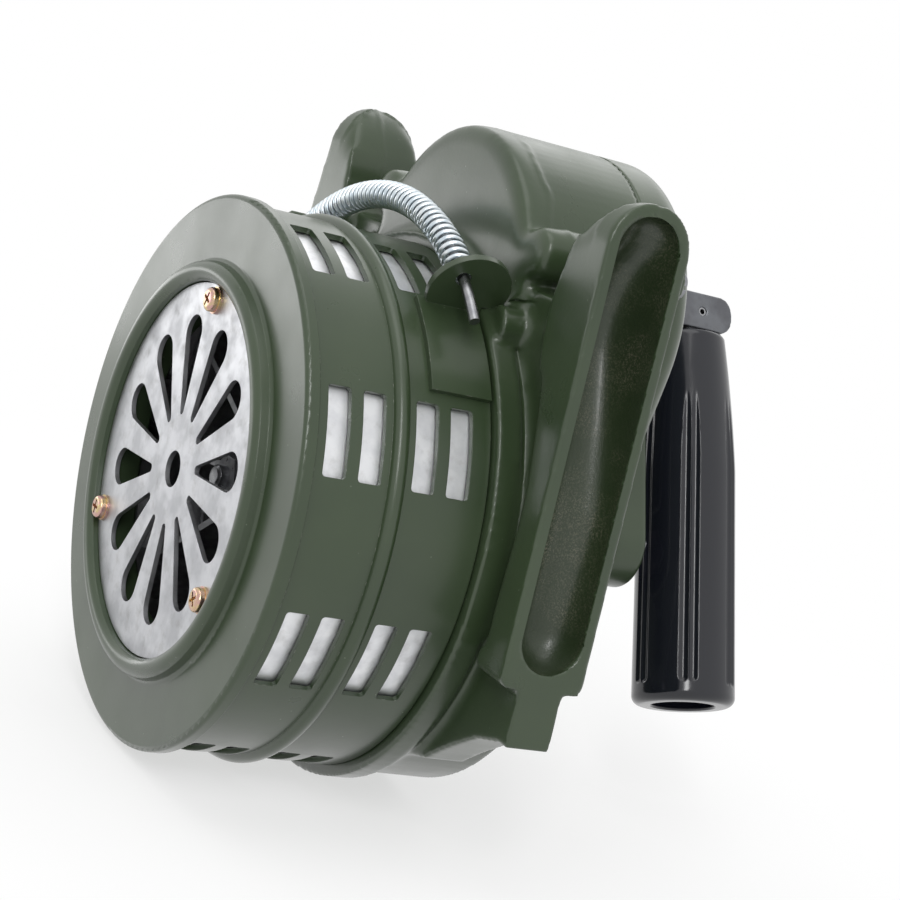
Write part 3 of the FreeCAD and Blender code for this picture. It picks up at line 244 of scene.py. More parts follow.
# %% Enamel
ENAMEL = "#38472f"
ENAMEL_DARK = "#303f29"
ENAMEL_DUST = "#5c6755"
BARE_METAL = "#b9b9b2"
CHIPS = 0.5
ENAMEL_ROUGH = 0.30


def worn_edges(tree, place, radius):
    """A mask of chips within a radius in millimetres of a sharp edge, and the normal rounded there.

    The edge is where the rounded normal leaves the flat one.
    """
    rounded = add(tree, "Bevel", {"Radius": radius * MM}, samples=6).outputs["Normal"]
    flat = add(tree, "NewGeometry").outputs["Normal"]
    close = add(tree, "VectorMath", {0: rounded, 1: flat}, operation="DOT_PRODUCT").outputs["Value"]
    edge = add(tree, "ValToRGB", {"Fac": close}, stops=((0.80, 1.0), (0.97, 0.0))).outputs["Color"]
    patches = add(tree, "TexNoise", {"Vector": place, "Scale": per_mm(1.6), "Detail": 5.0})
    patchy = add(tree, "ValToRGB", {"Fac": patches.outputs["Fac"]}, stops=((0.56, 0.0), (0.66, CHIPS)))
    worn = add(tree, "Math", {0: edge, 1: patchy.outputs["Color"]}, operation="MULTIPLY").outputs[0]
    return worn, rounded


def enamel(name, peel, edge=0.0):
    """Sprayed enamel with an orange peel of a depth, and worn edges of a radius, in millimetres."""
    material, tree, shader, place = start_material(name)
    drift = add(tree, "TexNoise", {"Vector": place, "Scale": per_mm(38.0), "Detail": 4.0}).outputs["Fac"]
    cloud = add(tree, "ValToRGB", {"Fac": drift}, stops=((0.35, 0.0), (0.70, 1.0))).outputs["Color"]
    colour = add(tree, "Mix", {0: cloud, 6: ENAMEL, 7: ENAMEL_DARK}, data_type="RGBA").outputs[2]
    specks = add(tree, "TexVoronoi", {"Vector": place, "Scale": per_mm(5.0), "Randomness": 1.0})
    nibs = add(tree, "ValToRGB", {"Fac": specks.outputs["Distance"]}, stops=((0.030, 1.0), (0.055, 0.0)))
    nibs = nibs.outputs["Color"]
    colour = add(tree, "Mix", {0: nibs, 6: colour, 7: ENAMEL_DUST}, data_type="RGBA").outputs[2]
    peel_noise = add(tree, "TexNoise", {"Vector": place, "Scale": per_mm(1.4), "Detail": 2.0})
    peeled = add(tree, "Bump", {"Height": peel_noise.outputs["Fac"], "Distance": peel * MM, "Strength": 1.0})
    if edge:
        worn, rounded = worn_edges(tree, place, edge)
        colour = add(tree, "Mix", {0: worn, 6: colour, 7: BARE_METAL}, data_type="RGBA").outputs[2]
        tree.links.new(worn, shader.inputs["Metallic"])
        tree.links.new(rounded, peeled.inputs["Normal"])
    raised = add(tree, "Bump", {"Height": nibs, "Distance": 0.03 * MM, "Strength": 1.0,
                                "Normal": peeled.outputs["Normal"]})
    sheen = add(tree, "TexNoise", {"Vector": place, "Scale": per_mm(22.0), "Detail": 5.0})
    uneven = add(tree, "ValToRGB", {"Fac": sheen.outputs["Fac"]},
                 stops=((0.3, ENAMEL_ROUGH - 0.04), (0.75, ENAMEL_ROUGH + 0.10)))
    tree.links.new(colour, shader.inputs["Base Color"])
    tree.links.new(uneven.outputs["Color"], shader.inputs["Roughness"])
    tree.links.new(raised.outputs["Normal"], shader.inputs["Normal"])
    shader.inputs["IOR"].default_value = 1.5
    shader.inputs["Coat Weight"].default_value = 0.25
    shader.inputs["Coat Roughness"].default_value = 0.18
    return material


enamel_sheet = enamel("army_green_enamel_on_sheet", peel=0.008, edge=0.35)
enamel_soft = enamel("army_green_enamel_on_soft_edges", peel=0.022)
print("enamel:", ENAMEL)

# %% [markdown]
# ## Bare and plated metals
# Metals share one recipe: full metallic, a base colour for the metal with a patchy tint, a little
# grime, and a roughness that says how the surface was cut. Turned pieces have rings round the drum's
# axis, drawn by a noise that is fine along the axis and stretched across it. Zinc plate carries a
# bluish or yellow passivation.

# %% Metals
ALONG_DRUM = (0.02, 2.4, 0.02)
METALS = {
    # Rolled sheet with a dull plate, so that the light on the guard is broad and a little blotchy
    "bright_plated_sheet": dict(
        colour="#bfc0c3", tint="#aaabae", patch=9.0, rough=0.42, dirt="#77756f", grime=0.5),
    # Bare aluminium from the lathe, the palest metal, which shines white through the windows
    "turned_aluminium": dict(
        colour="#e6e7e9", tint="#d8d9dc", patch=7.0, rough=0.48, dirt="#8a8880", grime=0.30,
        lines=ALONG_DRUM, line_depth=0.010),
    # Unpainted casting, greyer and duller than the turned ring, for the fan inside
    "cast_aluminium": dict(
        colour="#a9aaac", tint="#8f9092", patch=6.0, rough=0.45, dirt="#55544f", grime=0.4),
    # Zinc with a yellow passivation that drifts to pink, the warm points on the guard's screws
    "yellow_passivated_steel": dict(
        colour="#cfb98a", tint="#c79f9a", patch=2.4, rough=0.26, dirt="#6a5a3c", grime=0.3, edge=0.15),
    # Drawn wire with bright zinc, bluish white along each turn of the spring
    "bright_zinc_wire": dict(
        colour="#e3e9ec", tint="#cfdae1", patch=3.0, rough=0.30, dirt="#8c9295", grime=0.15),
    # Ground and turned steel with a film of oil, for shafts, gears and screws
    "machined_steel": dict(
        colour="#a3a4a6", tint="#8d8e92", patch=4.0, rough=0.30, dirt="#4d4b46", grime=0.3,
        lines=ALONG_DRUM, line_depth=0.006),
    # Bearing bronze, a dull brown yellow, for the bushes
    "bearing_bronze": dict(
        colour="#b08a55", tint="#9a7340", patch=4.0, rough=0.32, dirt="#7d7c78", grime=0.25),
    # Casting without paint, a soft mid grey, for the link
    "satin_grey_casting": dict(
        colour="#74767a", tint="#67686c", patch=8.0, rough=0.40, dirt="#5e5d58", grime=0.25, edge=0.6),
}


def metal(name, colour, tint, patch, rough, dirt, grime, edge=0.25, lines=None, line_depth=0.0):
    """A metal with a patchy tint, grime and, along an axis, machining lines of a depth in millimetres."""
    material, tree, shader, place = start_material(name)
    patches = add(tree, "TexNoise", {"Vector": place, "Scale": per_mm(patch), "Detail": 3.0})
    patchy = add(tree, "ValToRGB", {"Fac": patches.outputs["Fac"]}, stops=((0.40, 0.0), (0.62, 1.0)))
    base = add(tree, "Mix", {0: patchy.outputs["Color"], 6: colour, 7: tint}, data_type="RGBA").outputs[2]
    soil = add(tree, "TexNoise", {"Vector": place, "Scale": per_mm(patch * 0.6), "Detail": 8.0,
                                  "Roughness": 0.65})
    soiled = add(tree, "ValToRGB", {"Fac": soil.outputs["Fac"]}, stops=((0.52, 0.0), (0.78, grime)))
    base = add(tree, "Mix", {0: soiled.outputs["Color"], 6: base, 7: dirt}, data_type="RGBA").outputs[2]
    polish = add(tree, "TexNoise", {"Vector": place, "Scale": per_mm(patch * 0.5), "Detail": 5.0})
    uneven = add(tree, "ValToRGB", {"Fac": polish.outputs["Fac"]},
                 stops=((0.3, rough * 0.85), (0.7, rough * 1.25)))
    normal = add(tree, "Bevel", {"Radius": edge * MM}, samples=4).outputs["Normal"]
    if lines:
        squeezed = add(tree, "VectorMath", {0: place, 1: lines}, operation="MULTIPLY").outputs[0]
        cuts = add(tree, "TexNoise", {"Vector": squeezed, "Scale": per_mm(1.0), "Detail": 4.0,
                                      "Roughness": 0.7}).outputs["Fac"]
        normal = add(tree, "Bump", {"Height": cuts, "Distance": line_depth * MM, "Strength": 1.0,
                                    "Normal": normal}).outputs["Normal"]
    tree.links.new(base, shader.inputs["Base Color"])
    tree.links.new(uneven.outputs["Color"], shader.inputs["Roughness"])
    tree.links.new(normal, shader.inputs["Normal"])
    shader.inputs["Metallic"].default_value = 1.0
    return material


metals = {name: metal(name, **look) for name, look in METALS.items()}
print("metals:", len(metals))

# %% [markdown]
# ## Black grip
# The grip is a glossy phenolic or ABS moulding. Gloss black is nearly all reflection, so its roughness
# matters more than its colour: low, with faint handling marks, over a skin that sank a little as it set.

# %% Grip plastic
black_moulding, tree, shader, place = start_material("glossy_black_moulding")
shader.inputs["Base Color"].default_value = linear("#181a22")
shader.inputs["IOR"].default_value = 1.55
marks = add(tree, "TexNoise", {"Vector": place, "Scale": per_mm(9.0), "Detail": 6.0, "Roughness": 0.6})
handled = add(tree, "ValToRGB", {"Fac": marks.outputs["Fac"]}, stops=((0.35, 0.11), (0.75, 0.20)))
tree.links.new(handled.outputs["Color"], shader.inputs["Roughness"])
rounded = add(tree, "Bevel", {"Radius": 0.5 * MM}, samples=6).outputs["Normal"]
sunken = add(tree, "TexNoise", {"Vector": place, "Scale": per_mm(3.0), "Detail": 2.0})
skin = add(tree, "Bump", {"Height": sunken.outputs["Fac"], "Distance": 0.010 * MM, "Strength": 1.0,
                          "Normal": rounded})
tree.links.new(skin.outputs["Normal"], shader.inputs["Normal"])
print("grip finish:", black_moulding.name)

# %% [markdown]
# ## Finishes on the CAD nodes
# Each node keeps its CAD shape unless a later cell replaces it, and takes its finish from this table.

# %% Dress the nodes
FINISHES = {
    enamel_sheet: "front_cover shutter_ring shutter_lever lever_rivets",
    enamel_soft: "rear_casting handle_right handle_left gearbox_cover crank_arm",
    metals["bright_plated_sheet"]: "guard_plate",
    metals["turned_aluminium"]: "stator_ring",
    metals["cast_aluminium"]: "siren_rotor",
    metals["yellow_passivated_steel"]: "guard_screws guard_washers",
    metals["bright_zinc_wire"]: "return_spring",
    metals["machined_steel"]:
        "spring_rod rod_nut cover_screws rotor_shaft rotor_spacers rotor_washer rotor_nut "
        "bearing_inner_rings bearing_outer_rings rotor_pinion second_gear second_pinion "
        "idler_stud idler_washer countershaft first_gear first_pinion crank_shaft crank_gear "
        "crank_idler crank_idler_stud crank_nut hinge_pin roll_pin grip_spindle grip_screw",
    metals["bearing_bronze"]: "countershaft_bushes crank_bushes",
    metals["satin_grey_casting"]: "folding_link",
    black_moulding: "grip",
}
dressed = []
for finish, names in FINISHES.items():
    for name in names.split():
        mesh = nodes[name].data
        mesh.materials.clear()
        mesh.materials.append(finish)
        dressed.append(name)
print("nodes without a finish:", [name for name in nodes if name not in dressed])

# %% [markdown]
# ## Cast pieces with soft corners
# A sand or die casting has no sharp inner corners: the metal needs fillets to flow, and the pattern maker
# adds them where a web meets a wall. Exact CAD booleans leave those corners sharp. A voxel remesh turns
# the CAD solid into an even skin of small squares, and a relaxing step then moves only the points that
# lie in a hollow corner, or in a named zone, towards the mean of their neighbours.

# %% Tools for meshes
def shown(name, mesh, body, finish, *stands_for):
    """Puts a mesh in the scene as a piece on a body, in place of CAD nodes."""
    piece = bpy.data.objects.new(name, mesh)
    bpy.context.scene.collection.objects.link(piece)
    mesh.materials.clear()
    mesh.materials.append(finish)
    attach(piece, body)
    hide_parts(*stands_for)
    return piece


def with_outward_faces(mesh):
    """Turns a closed mesh's faces outwards."""
    bm = bmesh.new()
    bm.from_mesh(mesh)
    bmesh.ops.recalc_face_normals(bm, faces=bm.faces)
    bm.to_mesh(mesh)
    bm.free()


def shade_smooth(mesh, sharp_above=None):
    """Smooth shading, with creases at edges sharper than an angle in degrees if there is one."""
    mesh.polygons.foreach_set("use_smooth", [True] * len(mesh.polygons))
    if sharp_above:
        mesh.set_sharp_from_angle(angle=math.radians(sharp_above))
    mesh.update()


def prism(corners, far_corners):
    """A closed mesh between two outlines of as many points."""
    count = len(corners)
    faces = [tuple(range(count)), tuple(reversed(range(count, 2 * count)))]
    faces += [(k, k + count, (k + 1) % count + count, (k + 1) % count) for k in range(count)]
    mesh = bpy.data.meshes.new("prism")
    mesh.from_pydata([p * MM for p in (*corners, *far_corners)], [], faces)
    return mesh


def remeshed(voxel, names, fillers=()):
    """The skin of several nodes and fillers together, as even squares of a size in millimetres."""
    bm = bmesh.new()
    for mesh in [nodes[name].data for name in names] + list(fillers):
        bm.from_mesh(mesh)
    bmesh.ops.remove_doubles(bm, verts=bm.verts, dist=0.0005 * MM)
    bmesh.ops.recalc_face_normals(bm, faces=bm.faces)
    mesh = bpy.data.meshes.new("block")
    bm.to_mesh(mesh)
    bm.free()
    block = bpy.data.objects.new("block", mesh)
    bpy.context.scene.collection.objects.link(block)
    voxels = block.modifiers.new("voxels", "REMESH")
    voxels.mode = "VOXEL"
    voxels.voxel_size = voxel * MM
    graph = bpy.context.evaluated_depsgraph_get()
    skin = bpy.data.meshes.new_from_object(block.evaluated_get(graph))
    bpy.data.objects.remove(block)
    return skin


print("mesh tools ready")

# %% [markdown]
# ## Relaxing a skin
# All points are handled at once as arrays. Where a point's neighbours lie outside it, the surface is
# hollow there, and that is the sign by which the fillets are found.

# %% Tools for soft corners
HOLLOW_LOW, HOLLOW_HIGH = 0.02, 0.06
SPREAD_STEPS = 4
SPREAD_GAIN = 1.6


def read_points(mesh, field="co"):
    """The points of a mesh in metres, or their normals."""
    values = np.zeros(len(mesh.vertices) * 3)
    mesh.vertices.foreach_get(field, values)
    return values.reshape(-1, 3)


def write_points(mesh, points):
    """Puts points in metres back on a mesh."""
    mesh.vertices.foreach_set("co", points.ravel())
    mesh.update()


def neighbour_mean(mesh):
    """A function that gives every point's mean over its neighbours, for one value or three."""
    pairs = np.zeros(len(mesh.edges) * 2, dtype=np.int32)
    mesh.edges.foreach_get("vertices", pairs)
    first, second = pairs.reshape(-1, 2).T
    count = len(mesh.vertices)
    degree = np.bincount(first, minlength=count) + np.bincount(second, minlength=count)

    def mean(values):
        if values.ndim == 1:
            total = np.bincount(first, values[second], count) + np.bincount(second, values[first], count)
            return total / degree
        return np.stack([mean(values[:, k]) for k in range(3)], axis=1)
    return mean


def smooth_step(values, low, high):
    """From nought at low to one at high, without a kink."""
    t = np.clip((values - low) / (high - low), 0, 1)
    return t * t * (3 - 2 * t)


def hollow_corners(mesh, voxel):
    """One in a hollow corner and nought on flats and outer edges."""
    mean = neighbour_mean(mesh)
    points = read_points(mesh)
    inward = ((mean(points) - points) * read_points(mesh, "normal")).sum(1) / (voxel * MM)
    for _ in range(SPREAD_STEPS):
        inward = mean(inward)
    share = smooth_step(inward, HOLLOW_LOW, HOLLOW_HIGH)
    for _ in range(SPREAD_STEPS):
        share = mean(share)
    return np.clip(share * SPREAD_GAIN, 0, 1)


def relaxed(mesh, share, steps):
    """Moves points towards their neighbours' mean, as far as their share says."""
    mean = neighbour_mean(mesh)
    points = read_points(mesh)
    for _ in range(steps):
        points += 0.5 * share[:, None] * (mean(points) - points)
    write_points(mesh, points)


print("hollow corners bend by more than", HOLLOW_LOW, "of a voxel")

# %% [markdown]
# ## Rear casting and its grip channels
# One casting holds the flange, the cup, the gearbox lobe, the webs and the two side handles, which are
# scooped channels, open outwards, with a flat rim. The places below are those of the CAD model, in
# millimetres: from the ground up, and along the drum from the middle of the box.

# %% Where things are on the casting
CAST_VOXEL = 0.85
AXIS_HEIGHT = 81.5
AXIS_BACK = -95.75
FLANGE_FRONT = 57.0 + AXIS_BACK
CUP_INSIDE = 76.0
CUP_BACK = -5.0
LOBE_FRONT = 64.0 + AXIS_BACK
LOBE_HEIGHT = AXIS_HEIGHT + 68.0
LOBE_RADIUS = 48.5
LOBE_INSIDE = 45.5
LOBE_WALL = 3.2
CAVITY_HALF = 34.5
CAVITY_LOW = 45.0
BOSS_PLACE = (48.97, LOBE_HEIGHT + 20.28)
COVER_JOINT = 106.0 + AXIS_BACK
JOINT_REACH = 0.55
RIM_OUT = 98.35
RIM_LEAN = 0.0834
HANDLE_HALF = 12.85
HANDLE_LOW = AXIS_HEIGHT - 21.0
SCOOP_MIDDLE = 74.15 + AXIS_BACK
SCOOP_HALF = 9.65
SCOOP_LOW = AXIS_HEIGHT - 16.2
SCOOP_CROWN = AXIS_HEIGHT + 97.55
SCOOP_FLOOR = 84.5
SPINE_LOW = SCOOP_LOW + SCOOP_HALF


def rim_x(height):
    """Where the handle's flat rim stands at a height above the ground."""
    return RIM_OUT - RIM_LEAN * (height - AXIS_HEIGHT)


print("scoops from", SCOOP_LOW, "to", round(SCOOP_CROWN + SCOOP_HALF, 2), "mm above the ground")

# %% [markdown]
# ## One skin for the casting and its handles
# In CAD the handles are nodes of their own, on the real siren they are cast in one, so they share one
# skin here and no joint shows. A scoop ends in a half round below, where the CAD channel is square, so
# a wedge with a hollow side first fills each of those corners.

# %% Remesh the casting
WEDGE_OVERLAP = 0.5
WEDGE_STEPS = 8


def scoop_corner(side, end):
    """Fills the square corner at one end of a scoop's lower edge up to a round one."""
    flat = [Vector((0, SCOOP_MIDDLE + end * (SCOOP_HALF + WEDGE_OVERLAP), SCOOP_LOW - WEDGE_OVERLAP))]
    for k in range(WEDGE_STEPS + 1):
        turn = math.radians(90 * k / WEDGE_STEPS)
        flat.append(Vector((0, SCOOP_MIDDLE + end * SCOOP_HALF * math.cos(turn),
                            SCOOP_LOW + SCOOP_HALF * (1 - math.sin(turn)))))
    inner = [Vector((side * SCOOP_FLOOR, p.y, p.z)) for p in flat]
    outer = [Vector((side * rim_x(p.z), p.y, p.z)) for p in flat]
    return prism(inner, outer)


wedges = [scoop_corner(side, end) for side in (-1, 1) for end in (-1, 1)]
skin = remeshed(CAST_VOXEL, ("rear_casting", "handle_right", "handle_left"), wedges)
print("casting:", len(skin.polygons), "faces")

# %% [markdown]
# ## Zones of the casting
# The inside, where the gears turn, and the faces that other pieces seat on keep their exact place. The
# floor of a scoop is read from the skin itself, at steps along the handle, so the zone of the scoop
# ends short of the handle's back.

# %% Find the zones
points = read_points(skin) / MM
x, y, z = points.T
out = np.abs(x)
facing = read_points(skin, "normal")[:, 0] * np.sign(x)
from_axis = np.hypot(x, z - AXIS_HEIGHT)
from_lobe = np.hypot(x, z - LOBE_HEIGHT)
in_cup = (from_axis < CUP_INSIDE) & (y > FLANGE_FRONT + 3) & (y < CUP_BACK)
in_cavity = (out < CAVITY_HALF) & (z > CAVITY_LOW) & (z < LOBE_HEIGHT)
in_lobe = ((from_lobe < LOBE_INSIDE) | in_cavity) & (y > LOBE_FRONT + LOBE_WALL)
inside = in_cup | in_lobe | (y < FLANGE_FRONT + 0.5) | (y > COVER_JOINT - 1.5)

behind_rim = rim_x(z) - out
aside = y - SCOOP_MIDDLE
along = z - np.clip(z, SPINE_LOW, SCOOP_CROWN)
from_spine = np.hypot(aside, along)
on_floor = (facing > 0.3) & (from_spine < 4) & (behind_rim > 1) & (out > 68) & (z > SCOOP_LOW)
heights = np.arange(SCOOP_LOW + 4, SCOOP_CROWN + 5, 3.0)
depths = [np.median(behind_rim[on_floor & (np.abs(z - h) < 2.5)]) for h in heights]
depth = np.interp(z, heights, depths)
scoop = (from_spine < SCOOP_HALF + 0.7) & (behind_rim > -0.6) & (behind_rim < depth + 1.4)
scoop &= (out > 66) & (facing > -0.3)
print("scoop depth", round(min(depths), 1), "to", round(max(depths), 1), "mm")

# %% [markdown]
# ## Fillets and soft edges
# The fillets in the hollow corners come first. The lobe's front edge, the ends of the two upper screw
# bosses and the back of each handle, where the palm lies, are rounded more, so they are zones of their
# own. The foot of the handle stays crisp, as it is in the picture.

# %% Relax the zones
FILLET_STEPS = 45
ROUND_STEPS = 50
FOOT_OUT = 80.0
share = hollow_corners(skin, CAST_VOXEL)
share[inside | scoop | ((z < HANDLE_LOW + 5) & (out > FOOT_OUT))] = 0
relaxed(skin, share, FILLET_STEPS)

lobe_edge = np.hypot(from_lobe - LOBE_RADIUS, y - LOBE_FRONT)
zones = 1 - smooth_step(lobe_edge, 3.0, 6.5)
zones[z < AXIS_HEIGHT + 30] = 0
for side in (-1, 1):
    reach = np.hypot(x - side * BOSS_PLACE[0], z - BOSS_PLACE[1])
    boss_end = (1 - smooth_step(reach, 8.0, 11.0)) * (1 - smooth_step(y, LOBE_FRONT + 5, LOBE_FRONT + 9))
    zones = np.maximum(zones, boss_end)
grip_back = (out > 74) & (behind_rim > 4.0) & (z > AXIS_HEIGHT - 15) & ~scoop
zones = np.maximum(zones, grip_back * smooth_step(behind_rim, 4.0, 8.0))
zones[inside] = 0
relaxed(skin, zones, ROUND_STEPS)
relaxed(skin, np.where(inside, 0.0, 0.8), 2)
print("points in the round zones:", int((zones > 0.5).sum()))

# %% [markdown]
# ## Round scoops
# The CAD channel is a box with a half-round top. Seen along its spine, each point of the box moves
# towards the spine until it lies on a full curve between a square and a circle, like the bowl of a
# ladle. Points on the rim's inner edge already lie on that curve and stay.

# %% Round the scoops
BOWL = 2.5
SPINE_KEPT = 0.3
points = read_points(skin) / MM
side = np.sign(x)
rim_depth = np.maximum(0, rim_x(points[:, 2]) - np.abs(points[:, 0]))
norm = ((from_spine / SCOOP_HALF) ** BOWL + (rim_depth / depth) ** BOWL) ** (1 / BOWL)
norm = np.maximum(norm, SPINE_KEPT)
bowl_z = np.clip(z, SPINE_LOW, SCOOP_CROWN) + along / norm
points[scoop, 1] = SCOOP_MIDDLE + (aside / norm)[scoop]
points[scoop, 2] = bowl_z[scoop]
points[scoop, 0] = (side * (rim_x(bowl_z) - rim_depth / norm))[scoop]
print("points in the scoops:", int(scoop.sum()))

# %% [markdown]
# ## True rims
# A voxel skin nibbles at a slanting edge. The rim is dressed flat on a belt and its outline is a clean
# curve, so the points next to them go back onto the exact plane and outline. The edge between the two
# is then eased, as the paint rounds it. The joint face for the cover is trued in the same way.

# %% True the rims
SNAP = 0.55
outer = np.hypot(points[:, 1] - SCOOP_MIDDLE, np.maximum(0, points[:, 2] - SCOOP_CROWN))
behind = rim_x(points[:, 2]) - np.abs(points[:, 0])
edge = (np.abs(outer - HANDLE_HALF) < SNAP) & (behind < 8) & (z > HANDLE_LOW + 2.5) & (out > 70)
scale = np.where(edge, HANDLE_HALF / np.maximum(outer, 1), 1.0)
points[:, 1] = SCOOP_MIDDLE + (points[:, 1] - SCOOP_MIDDLE) * scale
crown = edge & (points[:, 2] > SCOOP_CROWN)
points[crown, 2] = SCOOP_CROWN + (points[crown, 2] - SCOOP_CROWN) * scale[crown]
behind = rim_x(points[:, 2]) - np.abs(points[:, 0])
on_rim = (behind < SNAP) & (outer < HANDLE_HALF + 0.8) & (z > HANDLE_LOW - 15) & (out > FOOT_OUT)
points[on_rim, 0] = (side * rim_x(points[:, 2]))[on_rim]
points[np.abs(points[:, 1] - COVER_JOINT) < JOINT_REACH, 1] = COVER_JOINT
write_points(skin, points * MM)
near_edge = (np.abs(outer - HANDLE_HALF) < 1.3) & (behind < 1.4) & (z > HANDLE_LOW - 1) & (out > FOOT_OUT)
relaxed(skin, near_edge * 0.9, 4)
print("points on the rims:", int(on_rim.sum()))

# %% [markdown]
# ## Marks that the mould leaves
# Where two halves of a mould meet, a thin line of metal stays after dressing, and the paint runs along
# it. The line goes round the lobe 9 mm behind its front. The small round boss by the lever, its stop at
# rest, is turned a few degrees round the drum to where the picture has it.

# %% Parting line and stop boss
PARTING = 73.0 + AXIS_BACK
PARTING_HEIGHT = 0.38
PARTING_WIDTH = 0.75
WANDER_SCALE, WANDER = 90, 1.6
BEAD_SCALE = 260
STOP_ANGLE = math.radians(39.5)
STOP_REACH = 82.5
STOP_TURN = np.radians(-3.0)

points = read_points(skin)
normals = read_points(skin, "normal")
wander = np.array([noise.noise(Vector(p) * WANDER_SCALE) for p in points]) * WANDER
beads = np.array([0.6 + 0.8 * max(0.0, noise.noise(Vector(p) * BEAD_SCALE)) for p in points])
ridge = np.exp(-((y - PARTING - wander) / PARTING_WIDTH) ** 2) * beads * PARTING_HEIGHT
ridge[(from_lobe < LOBE_RADIUS - 0.6) | (z < LOBE_HEIGHT - 5) | inside] = 0
points += normals * (ridge * MM)[:, None]

stop = Vector((math.sin(STOP_ANGLE), 0, math.cos(STOP_ANGLE))) * STOP_REACH
near_stop = np.hypot(x - stop.x, z - AXIS_HEIGHT - stop.z)
turn = STOP_TURN * (1 - smooth_step(near_stop, 7.0, 12.0)) * (1 - smooth_step(y, -26.0, -22.0))
px, pz = points[:, 0].copy(), points[:, 2] - AXIS_HEIGHT * MM
points[:, 0] = px * np.cos(turn) + pz * np.sin(turn)
points[:, 2] = AXIS_HEIGHT * MM + pz * np.cos(turn) - px * np.sin(turn)
points[:, 2] = np.minimum(points[:, 2], cad_high.z - 0.01 * MM)
write_points(skin, points)
shade_smooth(skin)
shown("rear_casting_with_fillets", skin, "housing", enamel_soft,
      "rear_casting", "handle_right", "handle_left")
print("ridge points:", int((ridge > 0.1).sum()))

# %% [markdown]
# ## Rough cast inside the scoops
# The belt that dresses the rim doesn't reach the mould face inside the scoops. Its grains show through the
# enamel as a sparkle of bright and brown points, in clouds about 30 mm across. Between them the enamel is
# painted darker, as painted shade in the hollow of the scoop.

# %% Speckled enamel with painted shade in the scoops
# The dark colour between the grains is painted shade, darker than the enamel outside the scoops.
SCOOP_PAINTED_SHADE = "#28351f"
GRAIN = "#84806e"


def speckled(name):
    """The enamel over rough cast metal, with bright grains that catch the light, on a base darkened as
    painted shade.
    """
    material = enamel_soft.copy()
    material.name = name
    tree = material.node_tree
    shader = tree.nodes["Principled BSDF"]
    place = tree.nodes["Texture Coordinate"].outputs["Object"]
    sand = add(tree, "TexNoise", {"Vector": place, "Scale": per_mm(0.55), "Detail": 4.0, "Roughness": 0.75})
    grains = add(tree, "ValToRGB", {"Fac": sand.outputs["Fac"]}, stops=((0.48, 0.0), (0.70, 1.0)))
    drift = add(tree, "TexNoise", {"Vector": place, "Scale": per_mm(30.0), "Detail": 3.0, "Roughness": 0.6})
    cloud = add(tree, "ValToRGB", {"Fac": drift.outputs["Fac"]}, stops=((0.42, 0.05), (0.66, 0.9)))
    bright = add(tree, "Math", {0: grains.outputs["Color"], 1: cloud.outputs["Color"]}, operation="MULTIPLY")
    colour = add(tree, "Mix", {0: bright.outputs[0], 6: SCOOP_PAINTED_SHADE, 7: GRAIN}, data_type="RGBA")
    tree.links.new(colour.outputs[2], shader.inputs["Base Color"])
    rough = add(tree, "TexNoise", {"Vector": place, "Scale": per_mm(0.9), "Detail": 4.0, "Roughness": 0.7})
    normal = add(tree, "Bump", {"Height": rough.outputs["Fac"], "Distance": 0.10 * MM, "Strength": 1.0,
                                "Normal": shader.inputs["Normal"].links[0].from_socket})
    tree.links.new(normal.outputs["Normal"], shader.inputs["Normal"])
    return material


skin.materials.append(speckled("army_green_enamel_with_painted_shade_on_rough_casting"))
# The faces inside the scoops take the enamel with painted shade.
in_scoop = scoop & ~on_rim
rough_faces = [face for face in skin.polygons if all(in_scoop[k] for k in face.vertices)]
for face in rough_faces:
    face.material_index = 1
print("faces in the scoops:", len(rough_faces))

# %% [markdown]
# ## Smaller castings
# The gearbox cover, the crank arm and the link are castings too, and get the same soft corners at a
# finer mesh. The cover keeps its exact inside and joint face, and the arm and the link keep the bores
# for their shaft and pins.

# %% Gearbox cover, crank arm and link
LEAN = math.radians(-27.0)
THROW = 81.3
HINGE_BACK = 162.2 + AXIS_BACK
ACROSS_ARM = (math.cos(LEAN), 0, -math.sin(LEAN))
COVER_CAVITY_BACK = 25.4
COVER_CAVITY_HALF = 34.0
SHAFT_BOSS_BORE = 9.6
HINGE_BORE, HINGE_HALF = 3.4, 9.5
SHAFT_BORE = 7.8


def cover_inside(x, y, z):
    """The gearbox cover's cavity, its joint face and the bore of its boss."""
    in_lobe = np.hypot(x, z - LOBE_HEIGHT) < LOBE_INSIDE
    in_cavity = (np.abs(x) < COVER_CAVITY_HALF) & (z < LOBE_HEIGHT)
    in_boss = np.hypot(x, z - AXIS_HEIGHT) < SHAFT_BOSS_BORE
    return ((in_lobe | in_cavity) & (y < COVER_CAVITY_BACK)) | (y < COVER_JOINT + 1.5) | in_boss


def pin_bores(x, y, z):
    """The bores for the hinge pin and the crank shaft."""
    across = x * ACROSS_ARM[0] + (z - AXIS_HEIGHT) * ACROSS_ARM[2]
    along = -x * ACROSS_ARM[2] + (z - AXIS_HEIGHT) * ACROSS_ARM[0]
    hinge = np.hypot(y - HINGE_BACK, along - THROW) < HINGE_BORE
    return (hinge & (np.abs(across) < HINGE_HALF)) | (np.hypot(x, z - AXIS_HEIGHT) < SHAFT_BORE)


def soft_casting(node, body, voxel, hollow_steps, all_steps, finish, keep):
    """Shows a node as a casting with soft corners, apart from the places to keep."""
    skin = remeshed(voxel, (node,))
    kept = keep(*(read_points(skin) / MM).T)
    share = hollow_corners(skin, voxel)
    share[kept] = 0
    relaxed(skin, share, hollow_steps)
    relaxed(skin, np.where(kept, 0.0, 0.8), all_steps)
    points = read_points(skin)
    points[np.abs(points[:, 1] / MM - COVER_JOINT) < JOINT_REACH, 1] = COVER_JOINT * MM
    write_points(skin, points)
    shade_smooth(skin)
    shown(node + "_with_fillets", skin, body, finish, node)
    print(node, len(skin.polygons), "faces")


